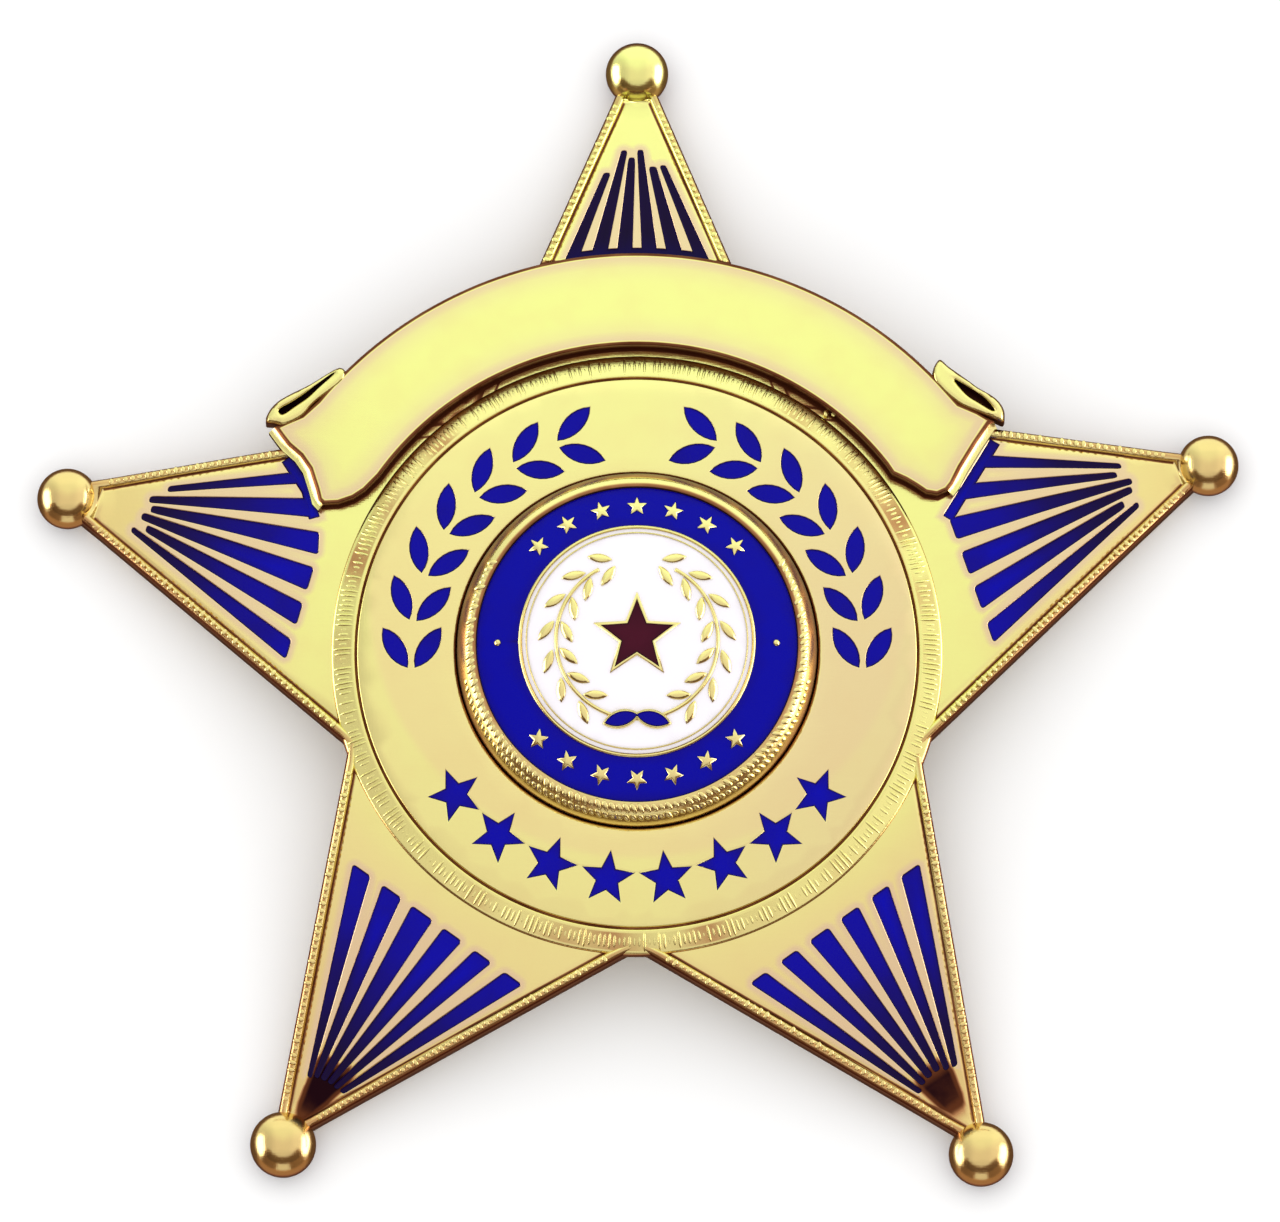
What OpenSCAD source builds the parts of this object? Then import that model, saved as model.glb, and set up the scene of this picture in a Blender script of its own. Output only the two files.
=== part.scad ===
// Five-pointed star badge: a domed, die-struck plate with ball tips, rays in blue enamel,
// a blank ribbon banner, a raised ring with enamel ornament and an applied round seal.
// The badge lies face up. The origin is in the middle of its outline, on the surface it rests on.
// +X is to the right and +Y towards the top point, seen from the front. Sizes are millimetres.

/* [Star plate] */
// Radius of the domed front face
dome_r = 128; // [115:1:150]
// Height of the front face at the centre, over the surface the badge lies on
front_top = 6.6; // [6.4:0.1:7.2]
// Thickness of the struck plate
plate_t = 1.25; // [1:0.05:1.4]
// Width of the milled strip along the edges of the star
border_w = 0.6; // [0.4:0.05:0.7]
// Height of that strip over the plate
border_h = 0.25; // [0.15:0.05:0.4]

/* [Ball tips] */
// Radius of the ball on each point
ball_r = 2; // [1.8:0.1:2.2]
// Height of the ball's centre over its flat foot
ball_z = 1.5; // [1.3:0.1:1.6]
// Radius of the neck where it meets the ball
neck_ball_r = 1.4; // [1.2:0.05:1.45]
// Radius of the neck where it rises from the plate
neck_plate_r = 0.9; // [0.7:0.05:1]
// Length of the neck
neck_l = 3.2; // [2.5:0.1:4]

/* [Centre rings] */
// Outer radius of the flat ring that carries the ornament
ring_r = 16.9; // [16.5:0.1:17]
// Height of that ring over the plate
ring_h = 0.5; // [0.4:0.05:0.7]
// Outer radius of the milled ring around it
milled_r = 18.3; // [17.9:0.1:18.5]
// Width of the groove between the two rings
groove_w = 0.15; // [0.1:0.05:0.2]
// Depth of that groove
groove_d = 0.25; // [0.15:0.05:0.3]

/* [Applied seal] */
// Radius of the round seat sunk into the centre
seat_r = 10.95; // [10.9:0.05:11.2]
// Height of the seat's floor
seat_z = 6.1; // [5.9:0.05:6.2]
// Outer radius of the rope bezel
bezel_r = 10.75; // [10.5:0.05:10.8]
// Inner radius of the rope bezel
bezel_inner_r = 9.6; // [9.4:0.05:9.7]
// Height of the top of the seal's dome
seal_top = 10.35; // [10.2:0.05:10.6]
// Radius of the seal's dome
seal_dome_r = 25; // [24:0.5:28]
// Outer radius of the thin metal line between the two enamel fields
line_r = 7.1; // [7:0.05:7.2]
// Width of the thin metal lines on the seal
line_w = 0.22; // [0.18:0.02:0.26]

/* [Ribbon banner] */
// Inner radius of the banner
banner_inner_r = 18.85; // [18.7:0.05:19]
// Outer radius of the banner
banner_outer_r = 24.7; // [24.4:0.1:24.9]
// Height of the banner over the plate
banner_h = 1; // [0.8:0.05:1.1]
// Height of the curled ribbon ends over the plate
curl_h = 0.8; // [0.6:0.05:0.85]
// Width of the slot in each curl
slot_w = 0.3; // [0.2:0.05:0.35]

/* [Enamel] */
// Depth of the enamel pockets in the plate
pocket_d = 0.35; // [0.25:0.05:0.45]
// Gap between enamel and metal
gap = 0.04; // [0.03:0.01:0.05]
// Rays on each point
ray_count = 6; // [4:1:6]
// Step from ray to ray at their wide ends
ray_pitch = 2.24; // [2.1:0.02:2.3]
// Width of a ray at its wide end
ray_w = 1.26; // [1:0.02:1.4]
// Distance from their focus at which the longest rays start
ray_start = 2.7; // [2.6:0.1:3.2]

/* [Ornament] */
// Radius of the middle of the two laurel rows
laurel_r = 13.5; // [13.3:0.1:13.7]
// Leaf pairs in each laurel row
laurel_pairs = 7; // [5:1:7]
// Length of a leaf
leaf_l = 2.8; // [2.4:0.1:2.9]
// Width of a leaf
leaf_w = 1.05; // [0.8:0.05:1.1]
// Stars in the lower row
star_count = 8; // [6:1:8]
// Outer radius of one star in the lower row
star_r = 1.6; // [1.3:0.1:1.7]

/* [Brooch pin] */
// Distance between the two posts
post_span = 26; // [22:1:28]
// Diameter of the pin wire
pin_d = 1.1; // [0.9:0.1:1.2]
// Height of the middle of the pin wire
pin_z = 1.9; // [1.7:0.1:2.1]

/* [Hidden] */
$fn = 96;
fine = 256;
tall = 14;
gold = [0.93, 0.80, 0.42];
blue = [0.05, 0.04, 0.55];
white = [0.95, 0.94, 0.96];
maroon = [0.32, 0.06, 0.12];

// The five points, counter-clockwise from the right-hand one.
// Columns: angle and radius of the ball's centre, of the tip where the edges would meet, of the
// focus of the rays and of the middle of the rays' wide ends
BALL_A = 0;
BALL_R = 1;
APEX_A = 2;
APEX_R = 3;
FOCUS_A = 4;
FOCUS_R = 5;
FAN_A = 6;
FAN_R = 7;
POINTS = [
    [19.9, 36.3, 20.05, 37.56, 20.5, 34.8, 19.3, 20.5],
    [90.0, 36.4, 90.0, 38.2, 90.1, 34.65, 89.9, 20.2],
    [163.1, 35.55, 162.87, 37.37, 162.4, 34.5, 163.2, 20.15],
    [234.0, 36.0, 233.4, 36.75, 233.9, 34.4, 233.9, 20.3],
    [304.7, 36.1, 305.43, 36.45, 305.2, 34.4, 305.8, 20.2]
];
RIGHT = 0;
TOP = 1;
LEFT = 2;
LOWER_LEFT = 3;
LOWER_RIGHT = 4;
// The notch after each point, as angle and radius
NOTCHES = [[58.6, 17.9], [124.7, 17.5], [197.7, 18.1], [270, 17.9], [341.3, 17.9]];

// Corners of the banner's ends, from the inner edge round to the outer one
LEFT_END = [
    [-15.4, 10.8], [-16.6, 9.8], [-17.5, 9.3], [-19, 9.3], [-19.2, 10.1],
    [-19.7, 11.6], [-20.8, 12.85], [-21.7, 14.1]
];
RIGHT_END = [
    [21.1, 14.4], [20.3, 13.05], [19.4, 11.5], [18.8, 10.3], [17.9, 9.75],
    [17.3, 9.9], [16.1, 10.7], [14.5, 11.2]
];
// Outer contour of each curled end, from the banner's back edge to its lowest corner
LEFT_CURL = [
    [-17.2, 16.9], [-18.4, 17.9], [-19.5, 16.9], [-20.2, 16.25], [-21.4, 15.9],
    [-21.9, 15.45], [-22.3, 14.5], [-22.1, 13.4], [-22, 12.75], [-20, 13.2]
];
RIGHT_CURL = [
    [17, 17.4], [18.15, 19], [18.8, 18.15], [20, 17], [21.2, 16.4],
    [22, 15.5], [22, 14.6], [21.3, 13.9], [19.8, 13.4]
];
// Share of the full width that each ray of a point has, from the right seen from the centre
WIDTHS = [
    [0.9, 1.04, 1.06, 1, 0.78, 0.74],
    [0.8, 1, 1, 1, 1, 0.8],
    [0.66, 0.94, 1, 1.06, 1, 0.88],
    [0.95, 1.02, 1.14, 1, 0.92, 0.95],
    [0.82, 0.88, 1.02, 0.96, 0.92, 1]
];
// How much nearer to the centre than the longest one each ray starts
STARTS = [
    [0.8, 1.5, 0.6, 0.4, 1.2, 0.9],
    [1.7, 1.6, 0.4, 0.9, 0.5, 2.2],
    [2.1, 1, 1.2, 0.8, 1.4, 0.7],
    [0, 0.1, 0.15, 0.2, 0.25, 0.4],
    [0.8, 0.95, 1, 1.05, 0.9, 0.95]
];
// Middle lines of the slots in the curls, and of the enamel bands beside the banner's ends
LEFT_SLOT = [[-18.2, 17.5], [-19.3, 16.4], [-20.4, 15.6], [-21.4, 15]];
RIGHT_SLOT = [[18.3, 17.9], [19.2, 16.7], [20.2, 15.8], [21.4, 15.15]];
LEFT_BAND = [[-21, 12.2], [-19.8, 10.25], [-19.35, 8.55]];
RIGHT_BAND = [[21.45, 13.3], [18.65, 8.5]];
side_band_w = 0.55;
top_band_w = 0.5;
top_band_half_angle = 9.4;
// Width of the metal left between the banner and the band above it
top_band_gap = 0.12;
// The bevel along the banner's ends, and the depth of the slots in its curls
banner_bevel = 0.45;
banner_bevel_h = 0.5;
slot_d = 0.55;

// Steps round the ring, offsets from the middle of the row and tilts of the leaves and stars
laurel_step = 12.3;
laurel_side = 0.98;
laurel_tilt = 32;
star_row_r = 13.95;
star_step = 14.6;
star_waist = 0.42;

// The seal's wreath: radius of its stem, and place, step and tilt of its leaves
wreath_r = 4.85;
wreath_side = 0.62;
wreath_tilt = 33;
wreath_first = 24;
wreath_step = 20;
wreath_leaf = [1.5, 0.55];
// Its star and its bow
emblem_r = 2.75;
emblem_fill_r = 2.2;
emblem_y = 0.1;
bow_loop = [2, 0.8];
bow_x = 0.95;
bow_tilt = 14;
bow_rim = 0.16;
// The small stars and dots on the seal's blue ring, and how far small metal stands proud
pip_r = 0.62;
pip_waist = 0.45;
pip_row_r = 8.35;
pip_step = 15;
dot_r = 0.2;
proud = 0.03;
root_d = 0.6;

// The brooch pin's base bar
bar_w = 4;
bar_t = 0.8;
bar_y = 4;
post_l = 3;
wire_over = 3;

// Height of the domed front over the surface, at a distance from the centre
function front_z(r) = front_top - dome_r + sqrt(dome_r * dome_r - r * r);
function polar(r, a) = [r * cos(a), r * sin(a)];
function unit(v) = v / norm(v);
function left_of(v) = [-v[1], v[0]];
// The line through p and q, moved to its left by d
function shifted(p, q, d) = let (n = left_of(unit(q - p))) [p + d * n, q + d * n];
function cross2(a, b) = a[0] * b[1] - a[1] * b[0];
// Where two lines meet
function meet(l, m) =
    let (u = l[1] - l[0], w = m[1] - m[0])
    l[0] + u * cross2(m[0] - l[0], w) / cross2(u, w);
// The line across a point of the star, at a distance from its ball's centre towards the badge's centre
function across(i, back) =
    let (
        axis = polar(1, POINTS[i][BALL_A]),
        p = (POINTS[i][BALL_R] - back) * axis
    )
    [p, p + left_of(axis)];
function apex(i) = polar(POINTS[i][APEX_R], POINTS[i][APEX_A]);
function notch(i) = polar(NOTCHES[i][1], NOTCHES[i][0]);
function ball(i) = polar(POINTS[i][BALL_R], POINTS[i][BALL_A]);
// Middle of the whole outline, seen from the centre of the rings
middle_x = (ball(RIGHT)[0] + ball(LEFT)[0]) / 2;
middle_y = (ball(TOP)[1] + ball(LOWER_RIGHT)[1]) / 2;
// Outline of the star moved inwards by d, with each point cut off short of the ball's centre
function outline(d, back) = [
    for (i = [0:4])
        let (
            before = shifted(notch((i + 4) % 5), apex(i), d),
            after = shifted(apex(i), notch(i), d),
            next = shifted(notch(i), apex((i + 1) % 5), d)
        )
        each [meet(before, across(i, back)), meet(after, across(i, back)), meet(after, next)]
];
function backwards(list) = [for (i = [len(list) - 1:-1:0]) list[i]];
// A line moved to its left by d
function beside(line, d) =
    let (last = len(line) - 1)
    [
        for (i = [0:last])
            line[i] + d * left_of(unit(line[min(i + 1, last)] - line[max(i - 1, 0)]))
    ];
// Outline of a strip of width w along a middle line
function strip(line, w) =
    concat(beside(line, -w / 2), backwards(beside(line, w / 2)));
// Outline of a five-pointed star
function star_points(r, inner) = [for (k = [0:9]) polar(k % 2 == 0 ? r : inner, 90 + 36 * k)];

// Carries a piece from the centre of the rings to the shared origin
module placed() {
    translate([-middle_x, -middle_y, 0]) children();
}

// A ball whose top is the domed front raised by h. Its poles lie sideways, clear of the face.
module dome(h) {
    translate([0, 0, front_top - dome_r])
        rotate([90, 0, 0])
            sphere(dome_r + h, $fn = fine);
}

// The ball that carries the seal's own dome, raised by h
module seal_dome(h) {
    translate([0, 0, seal_top - seal_dome_r])
        rotate([90, 0, 0])
            sphere(seal_dome_r + h, $fn = fine);
}

// A flat outline carried up to the domed front raised by h
module raised(h) {
    intersection() {
        linear_extrude(tall) children();
        dome(h);
    }
}

// The part of an upright outline that lies between two depths under the domed front
module inlay(top, bottom) {
    difference() {
        raised(top) children();
        dome(bottom);
    }
}

// The same on the seal
module seal_inlay(top, bottom) {
    difference() {
        intersection() {
            translate([0, 0, seat_z]) linear_extrude(tall) children();
            seal_dome(top);
        }
        seal_dome(bottom);
    }
}

module disc_ring(outer, inner) {
    difference() {
        circle(outer);
        circle(inner);
    }
}

// A pointed leaf along X, centred on the origin
module leaf(l, w) {
    r = (l * l + w * w) / (4 * w);
    intersection() {
        translate([0, r - w / 2]) circle(r);
        translate([0, w / 2 - r]) circle(r);
    }
}

module banner_outline(grow) {
    intersection() {
        disc_ring(banner_outer_r + grow, banner_inner_r - grow);
        polygon(concat(LEFT_END, [[-26, 20], [-20, 28], [20, 28], [26, 20]], RIGHT_END, [[0, 10]]));
    }
}

// The band of a side point, as the lines where its rays end
function stops(i) =
    let (line = i == RIGHT ? RIGHT_BAND : i == LEFT ? LEFT_BAND : [])
    [for (k = [0:1:len(line) - 2]) [line[k], line[k + 1]]];
// A ray's corner, drawn back to the first line that the ray's edge meets on its way from the focus
function stopped(i, focus, corner) =
    let (
        way = corner - focus,
        shares = [for (s = stops(i)) norm(meet([focus, corner], s) - focus) / norm(way)]
    )
    focus + min(concat([1], shares)) * way;

// The rays of one point, fanned out from their focus to a line across the point
module ray_fan(i, grow) {
    focus = polar(POINTS[i][FOCUS_R], POINTS[i][FOCUS_A]);
    axis = polar(1, POINTS[i][FAN_A]);
    for (n = [0:ray_count - 1])
        let (
            k = n - (ray_count - 1) / 2,
            half = ray_w / 2 * WIDTHS[i][n],
            middle = (POINTS[i][FAN_R] - grow) * axis + k * ray_pitch * left_of(axis),
            a = middle + (half + grow) * left_of(axis),
            b = middle - (half + grow) * left_of(axis),
            share = (ray_start + STARTS[i][n] - grow) / norm(middle - focus)
        )
        polygon([
            stopped(i, focus, a), stopped(i, focus, b),
            focus + share * (b - focus), focus + share * (a - focus)
        ]);
}

// All the blue enamel of one point
module rays_outline(i, grow) {
    difference() {
        union() {
            ray_fan(i, grow);
            if (i == TOP)
                intersection() {
                    disc_ring(banner_outer_r + top_band_w + grow, banner_outer_r - 1);
                    polygon([
                        [0, 0],
                        polar(30, 90 - top_band_half_angle),
                        polar(30, 90 + top_band_half_angle)
                    ]);
                }
            if (i == LEFT) polygon(strip(LEFT_BAND, side_band_w + 2 * grow));
            if (i == RIGHT) polygon(strip(RIGHT_BAND, side_band_w + 2 * grow));
        }
        if (i == TOP) circle(banner_outer_r + top_band_gap + gap - grow);
    }
}

module laurel_outline(side, grow) {
    start = side < 0 ? 179 : 1;
    for (n = [0:laurel_pairs - 1])
        rotate(start + side * laurel_step * n)
            for (row = [-1, 1])
                translate([laurel_r + row * laurel_side, 0])
                    rotate(side * (90 - row * laurel_tilt))
                        leaf(leaf_l + 2 * grow, leaf_w + 2 * grow);
}

module star_row_outline(grow) {
    r = star_r + 1.6 * grow;
    for (n = [0:star_count - 1])
        rotate(270 + star_step * (n - (star_count - 1) / 2))
            translate([star_row_r, 0])
                rotate(90)
                    polygon(star_points(r, r * star_waist));
}

// One ball tip with its neck, before the foot is cut flat
module ball_tip(i) {
    reach = POINTS[i][BALL_R];
    neck_z = front_z(reach - neck_l) - neck_plate_r;
    rotate(POINTS[i][BALL_A]) {
        translate([reach, 0, ball_z]) sphere(ball_r);
        translate([reach - neck_l, 0, neck_z])
            rotate([0, 90 - atan2(ball_z - neck_z, neck_l), 0])
                cylinder(h = neck_l, r1 = neck_plate_r, r2 = neck_ball_r);
    }
}

// The plate with its raised border, before the pockets are cut
module struck_plate() {
    difference() {
        raised(border_h) polygon(outline(0, 0));
        difference() {
            linear_extrude(tall) polygon(outline(border_w, 1.8));
            dome(0);
        }
    }
}

module centre_rings() {
    raised(ring_h) circle(ring_r);
    top = front_z(ring_r) + ring_h;
    edge = front_z(milled_r);
    rotate_extrude()
        polygon([
            [ring_r - 1, edge - 0.6],
            [milled_r, edge - 0.6],
            [milled_r, edge + 0.08],
            [ring_r + 0.1, top],
            [ring_r - 1, top]
        ]);
}

module banner() {
    raised(banner_h) banner_outline(0);
    raised(0)
        intersection() {
            circle(banner_outer_r);
            polygon([[0, 10], [-16, 10.5], [-20, 28], [20, 28], [16, 10.5]]);
        }
    raised(banner_bevel_h)
        union() {
            polygon(strip(
                concat([(LEFT_END[2] + LEFT_END[3]) / 2], [for (k = [3:7]) LEFT_END[k]]),
                2 * banner_bevel
            ));
            polygon(strip(
                concat([for (k = [0:4]) RIGHT_END[k]], [(RIGHT_END[4] + RIGHT_END[5]) / 2]),
                2 * banner_bevel
            ));
        }
    difference() {
        raised(curl_h)
            union() {
                polygon(LEFT_CURL);
                polygon(RIGHT_CURL);
            }
        inlay(tall, curl_h - slot_d) polygon(strip(LEFT_SLOT, slot_w));
        inlay(tall, curl_h - slot_d) polygon(strip(RIGHT_SLOT, slot_w));
    }
}

module star_body() {
    color(gold) placed()
        difference() {
            union() {
                difference() {
                    union() {
                        struck_plate();
                        centre_rings();
                        banner();
                    }
                    dome(-plate_t);
                    for (i = [RIGHT:LOWER_RIGHT])
                        inlay(tall, -pocket_d) rays_outline(i, gap);
                    inlay(tall, ring_h - pocket_d) {
                        laurel_outline(-1, gap);
                        laurel_outline(1, gap);
                        star_row_outline(gap);
                    }
                    inlay(tall, ring_h - groove_d) disc_ring(ring_r, ring_r - groove_w);
                    translate([0, 0, seat_z]) cylinder(h = tall, r = seat_r);
                }
                for (i = [RIGHT:LOWER_RIGHT]) ball_tip(i);
            }
            translate([-50, -50, -20]) cube([100, 100, 20]);
        }
}

// The thin metal lines and small reliefs of the seal, drawn from above
module wreath_leaves(grow) {
    for (side = [-1, 1], n = [0:6])
        rotate(90 + side * (wreath_first + wreath_step * n))
            for (row = [-1, 1])
                translate([wreath_r + row * wreath_side, 0])
                    rotate(-side * (90 + row * wreath_tilt))
                        leaf(wreath_leaf[0] + 2 * grow, wreath_leaf[1] + 2 * grow);
}

// The stem is open at the top
module wreath_stem(grow) {
    intersection() {
        disc_ring(wreath_r + line_w / 2 + grow, wreath_r - line_w / 2 - grow);
        polygon([
            [0, 0], polar(9, 118 - grow), polar(12, 180), polar(12, 225), polar(12, 270),
            polar(12, 315), polar(12, 360), polar(9, 62 + grow)
        ]);
    }
}

module emblem_star(r) {
    translate([0, emblem_y]) polygon(star_points(r, r * star_waist));
}

module seal_bow(grow) {
    for (side = [-1, 1])
        translate([side * bow_x, -wreath_r])
            rotate(-side * bow_tilt)
                leaf(bow_loop[0] + 2 * grow, bow_loop[1] + 2 * grow);
}

module ring_pips(grow) {
    r = pip_r + 1.6 * grow;
    for (half = [90, 270], n = [-3:3])
        rotate(half + pip_step * n)
            translate([pip_row_r, 0])
                rotate(-90)
                    polygon(star_points(r, r * pip_waist));
    for (a = [0, 180])
        rotate(a) translate([pip_row_r, 0]) circle(dot_r + grow);
}

// The wreath, kept off the fill of the bow that ties it
module wreath(grow) {
    difference() {
        union() {
            wreath_stem(grow);
            wreath_leaves(grow);
        }
        seal_bow(-gap);
    }
}

module seal_disc() {
    color(gold) placed() {
        intersection() {
            translate([0, 0, seat_z + proud]) cylinder(h = tall, r = bezel_inner_r + 0.1);
            seal_dome(-pocket_d - 0.05);
        }
        rotate_extrude()
            polygon([
                [bezel_inner_r, seat_z + proud],
                [bezel_r, seat_z + proud],
                [bezel_r, seat_z + 0.75],
                [bezel_inner_r + 0.6, seat_z + 1.95],
                [bezel_inner_r + 0.25, seat_z + 2.4],
                [bezel_inner_r, seat_z + 2.4]
            ]);
        seal_inlay(0, -root_d) disc_ring(line_r, line_r - line_w);
        seal_inlay(proud, -root_d) wreath(0);
        seal_inlay(proud, -root_d) ring_pips(0);
        seal_inlay(proud, -root_d)
            difference() {
                emblem_star(emblem_r);
                emblem_star(emblem_fill_r);
            }
        seal_inlay(proud, -root_d)
            difference() {
                seal_bow(bow_rim);
                seal_bow(-gap);
            }
    }
}

module seal_ring_enamel() {
    color(blue) placed()
        seal_inlay(-0.02, -pocket_d)
            difference() {
                disc_ring(bezel_inner_r - gap, line_r + gap);
                ring_pips(gap);
            }
}

module seal_field_enamel() {
    color(white) placed()
        seal_inlay(-0.02, -pocket_d)
            difference() {
                circle(line_r - line_w - gap);
                wreath_stem(gap);
                wreath_leaves(gap);
                emblem_star(emblem_r + 2 * gap);
                seal_bow(bow_rim + gap);
            }
}

module seal_star_enamel() {
    color(maroon) placed() seal_inlay(-0.02, -pocket_d) emblem_star(emblem_fill_r - 2 * gap);
}

module seal_ribbon_enamel() {
    color(blue) placed() seal_inlay(-0.02, -pocket_d) seal_bow(-2 * gap);
}

module ray_enamel(i) {
    color(blue) placed() inlay(-0.03, gap - pocket_d) rays_outline(i, 0);
}

module laurel_enamel(side) {
    color(blue) placed() inlay(ring_h - 0.03, ring_h + gap - pocket_d) laurel_outline(side, 0);
}

module star_row_enamel() {
    color(blue) placed() inlay(ring_h - 0.03, ring_h + gap - pocket_d) star_row_outline(0);
}

// One plain piece across the back: a base bar, two posts and the wire between them
module brooch_pin() {
    color(gold) placed()
        union() {
            intersection() {
                translate([-post_span / 2 - post_l / 2, bar_y, pin_z - 0.9])
                    cube([post_span + post_l, bar_w, tall]);
                difference() {
                    dome(-plate_t - gap);
                    difference() {
                        dome(-plate_t - gap - bar_t);
                        for (side = [-1, 1])
                            translate([side * post_span / 2 - post_l / 2, 0, 0])
                                cube([post_l, 20, tall]);
                    }
                }
            }
            translate([-post_span / 2, bar_y + bar_w / 2, pin_z])
                rotate([0, 90, 0])
                    cylinder(h = post_span + wire_over, d = pin_d);
        }
}

star_body();
seal_disc();
seal_ring_enamel();
seal_field_enamel();
seal_star_enamel();
seal_ribbon_enamel();
ray_enamel(RIGHT);  // ray_enamel_right
ray_enamel(TOP);  // ray_enamel_top
ray_enamel(LEFT);  // ray_enamel_left
ray_enamel(LOWER_LEFT);  // ray_enamel_lower_left
ray_enamel(LOWER_RIGHT);  // ray_enamel_lower_right
laurel_enamel(-1);  // laurel_enamel_left
laurel_enamel(1);  // laurel_enamel_right
star_row_enamel();
brooch_pin();
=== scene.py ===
"""Looks of the star badge: polished gold plate, blue enamel and an applied round seal.

Lengths are millimetres from the middle of the rings, until a Shape turns them into metres in the
shared frame. The tarnish attribute carries tarnish together with painted shade: 0 on clean
plate and 1 in a dark groove; below 0 it is a painted pink shading, and above 1 the deepest
painted dark.
"""

import logging
import math
from dataclasses import dataclass, field
from enum import Enum
from typing import Callable, Sequence

import bpy
import numpy as np
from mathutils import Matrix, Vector
from mathutils.geometry import delaunay_2d_cdt


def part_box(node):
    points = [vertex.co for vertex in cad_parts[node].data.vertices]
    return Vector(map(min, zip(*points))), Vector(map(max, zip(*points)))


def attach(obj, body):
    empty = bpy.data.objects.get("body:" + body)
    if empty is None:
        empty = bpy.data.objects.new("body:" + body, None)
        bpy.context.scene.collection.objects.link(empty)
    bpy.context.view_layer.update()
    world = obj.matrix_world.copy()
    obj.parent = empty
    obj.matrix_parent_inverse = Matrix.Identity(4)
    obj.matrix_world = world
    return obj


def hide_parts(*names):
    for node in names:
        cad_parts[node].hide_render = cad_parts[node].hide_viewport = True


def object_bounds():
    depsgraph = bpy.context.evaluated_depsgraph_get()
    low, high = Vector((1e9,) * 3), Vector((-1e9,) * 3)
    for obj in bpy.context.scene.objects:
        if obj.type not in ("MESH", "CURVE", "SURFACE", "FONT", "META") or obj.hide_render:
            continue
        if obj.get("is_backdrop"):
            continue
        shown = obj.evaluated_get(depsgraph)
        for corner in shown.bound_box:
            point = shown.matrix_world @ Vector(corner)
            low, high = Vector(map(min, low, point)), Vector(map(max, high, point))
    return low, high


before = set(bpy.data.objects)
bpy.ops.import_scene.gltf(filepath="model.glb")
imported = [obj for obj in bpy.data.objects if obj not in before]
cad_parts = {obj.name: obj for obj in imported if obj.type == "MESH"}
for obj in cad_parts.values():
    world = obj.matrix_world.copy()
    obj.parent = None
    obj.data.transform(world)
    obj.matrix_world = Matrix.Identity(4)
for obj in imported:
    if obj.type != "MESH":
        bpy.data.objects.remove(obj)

LOG = logging.getLogger("badge")
MM = 0.001
Loop = np.ndarray
Height = Callable[[np.ndarray], np.ndarray]
Colour = tuple[float, float, float]

DOME_R = 128.0  # radius of the domed front
FRONT_TOP = 6.6  # height of its middle
PLATE_T = 1.25  # thickness of the plate
POCKET_D = 0.35  # depth of the enamel pockets
GAP = 0.04  # gap round the enamel in the solids
RIM = 0.07  # width of a pocket's rounded rim
RING_H = 0.5  # height of the flat ring over the front
BELOW = -0.03  # height of the enamel's edge over the metal round it
CREEP = 0.05  # how far its edge stands over the rest of it
FAR = 9.0  # stands for a distance that doesn't matter
SHARP = 42.0  # angle in degrees past which an edge stays sharp
MAX_BEND = 0.75  # cosine of the bend past which a wall keeps its own normals
ROW_SHARE = 0.866  # spacing of the rows of a triangular grid, as a share of its pitch
BACK_TARNISH = 0.3


class Slot(Enum):
    """The material slots."""

    GOLD = "gold"
    BLUE = "enamel_blue"
    WHITE = "enamel_white"
    MAROON = "enamel_maroon"


# ---------------------------------------------------------------- plane geometry


def polar(r: float, a: float) -> np.ndarray:
    """A point at radius r and angle a in degrees."""
    return np.array([r * math.cos(math.radians(a)), r * math.sin(math.radians(a))])


def unit(v: np.ndarray) -> np.ndarray:
    """The vector's direction."""
    return v / np.linalg.norm(v)


def left_of(v: np.ndarray) -> np.ndarray:
    """The vector turned a quarter to the left."""
    return np.array([-v[1], v[0]])


def shifted(p: np.ndarray, q: np.ndarray, d: float) -> tuple[np.ndarray, np.ndarray]:
    """The line through p and q, moved to its left by d."""
    n = left_of(unit(q - p))
    return p + d * n, q + d * n


def meet(l: Sequence[np.ndarray], m: Sequence[np.ndarray]) -> np.ndarray:
    """The point where two lines meet."""
    u, w, gap = l[1] - l[0], m[1] - m[0], m[0] - l[0]
    return l[0] + u * (gap[0] * w[1] - gap[1] * w[0]) / (u[0] * w[1] - u[1] * w[0])


def circle(r: float, count: int = 240) -> Loop:
    """A closed circle round the middle of the rings."""
    return np.array([polar(r, 360 * k / count) for k in range(count)])


def arc(r: float, start: float, end: float, count: int) -> list[np.ndarray]:
    """Points along an arc, both ends included."""
    return [polar(r, start + (end - start) * k / count) for k in range(count + 1)]


def beside(line: Sequence[np.ndarray], d: float) -> list[np.ndarray]:
    """An open line moved to its left by d."""
    last = len(line) - 1
    return [
        p + d * left_of(unit(line[min(i + 1, last)] - line[max(i - 1, 0)]))
        for i, p in enumerate(line)
    ]


def strip(line: Sequence[np.ndarray], width: float) -> Loop:
    """The outline of a strip along a middle line."""
    return np.array(beside(line, -width / 2) + beside(line, width / 2)[::-1])


def inset(loop: Loop, d: float) -> Loop:
    """A counter-clockwise outline drawn inwards by d, with mitred corners.

    Args:
        loop: Corners of the outline.
        d: Distance to the new outline, negative to grow it.

    Returns:
        The corners of the new outline, one for each old one.
    """
    ahead = np.roll(loop, -1, axis=0) - loop
    ahead /= np.linalg.norm(ahead, axis=1)[:, None]
    normal = np.stack([-ahead[:, 1], ahead[:, 0]], axis=1)
    both = normal + np.roll(normal, 1, axis=0)
    share = 2 / np.maximum((both * both).sum(1), 0.8)
    return loop + d * both * share[:, None]


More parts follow.
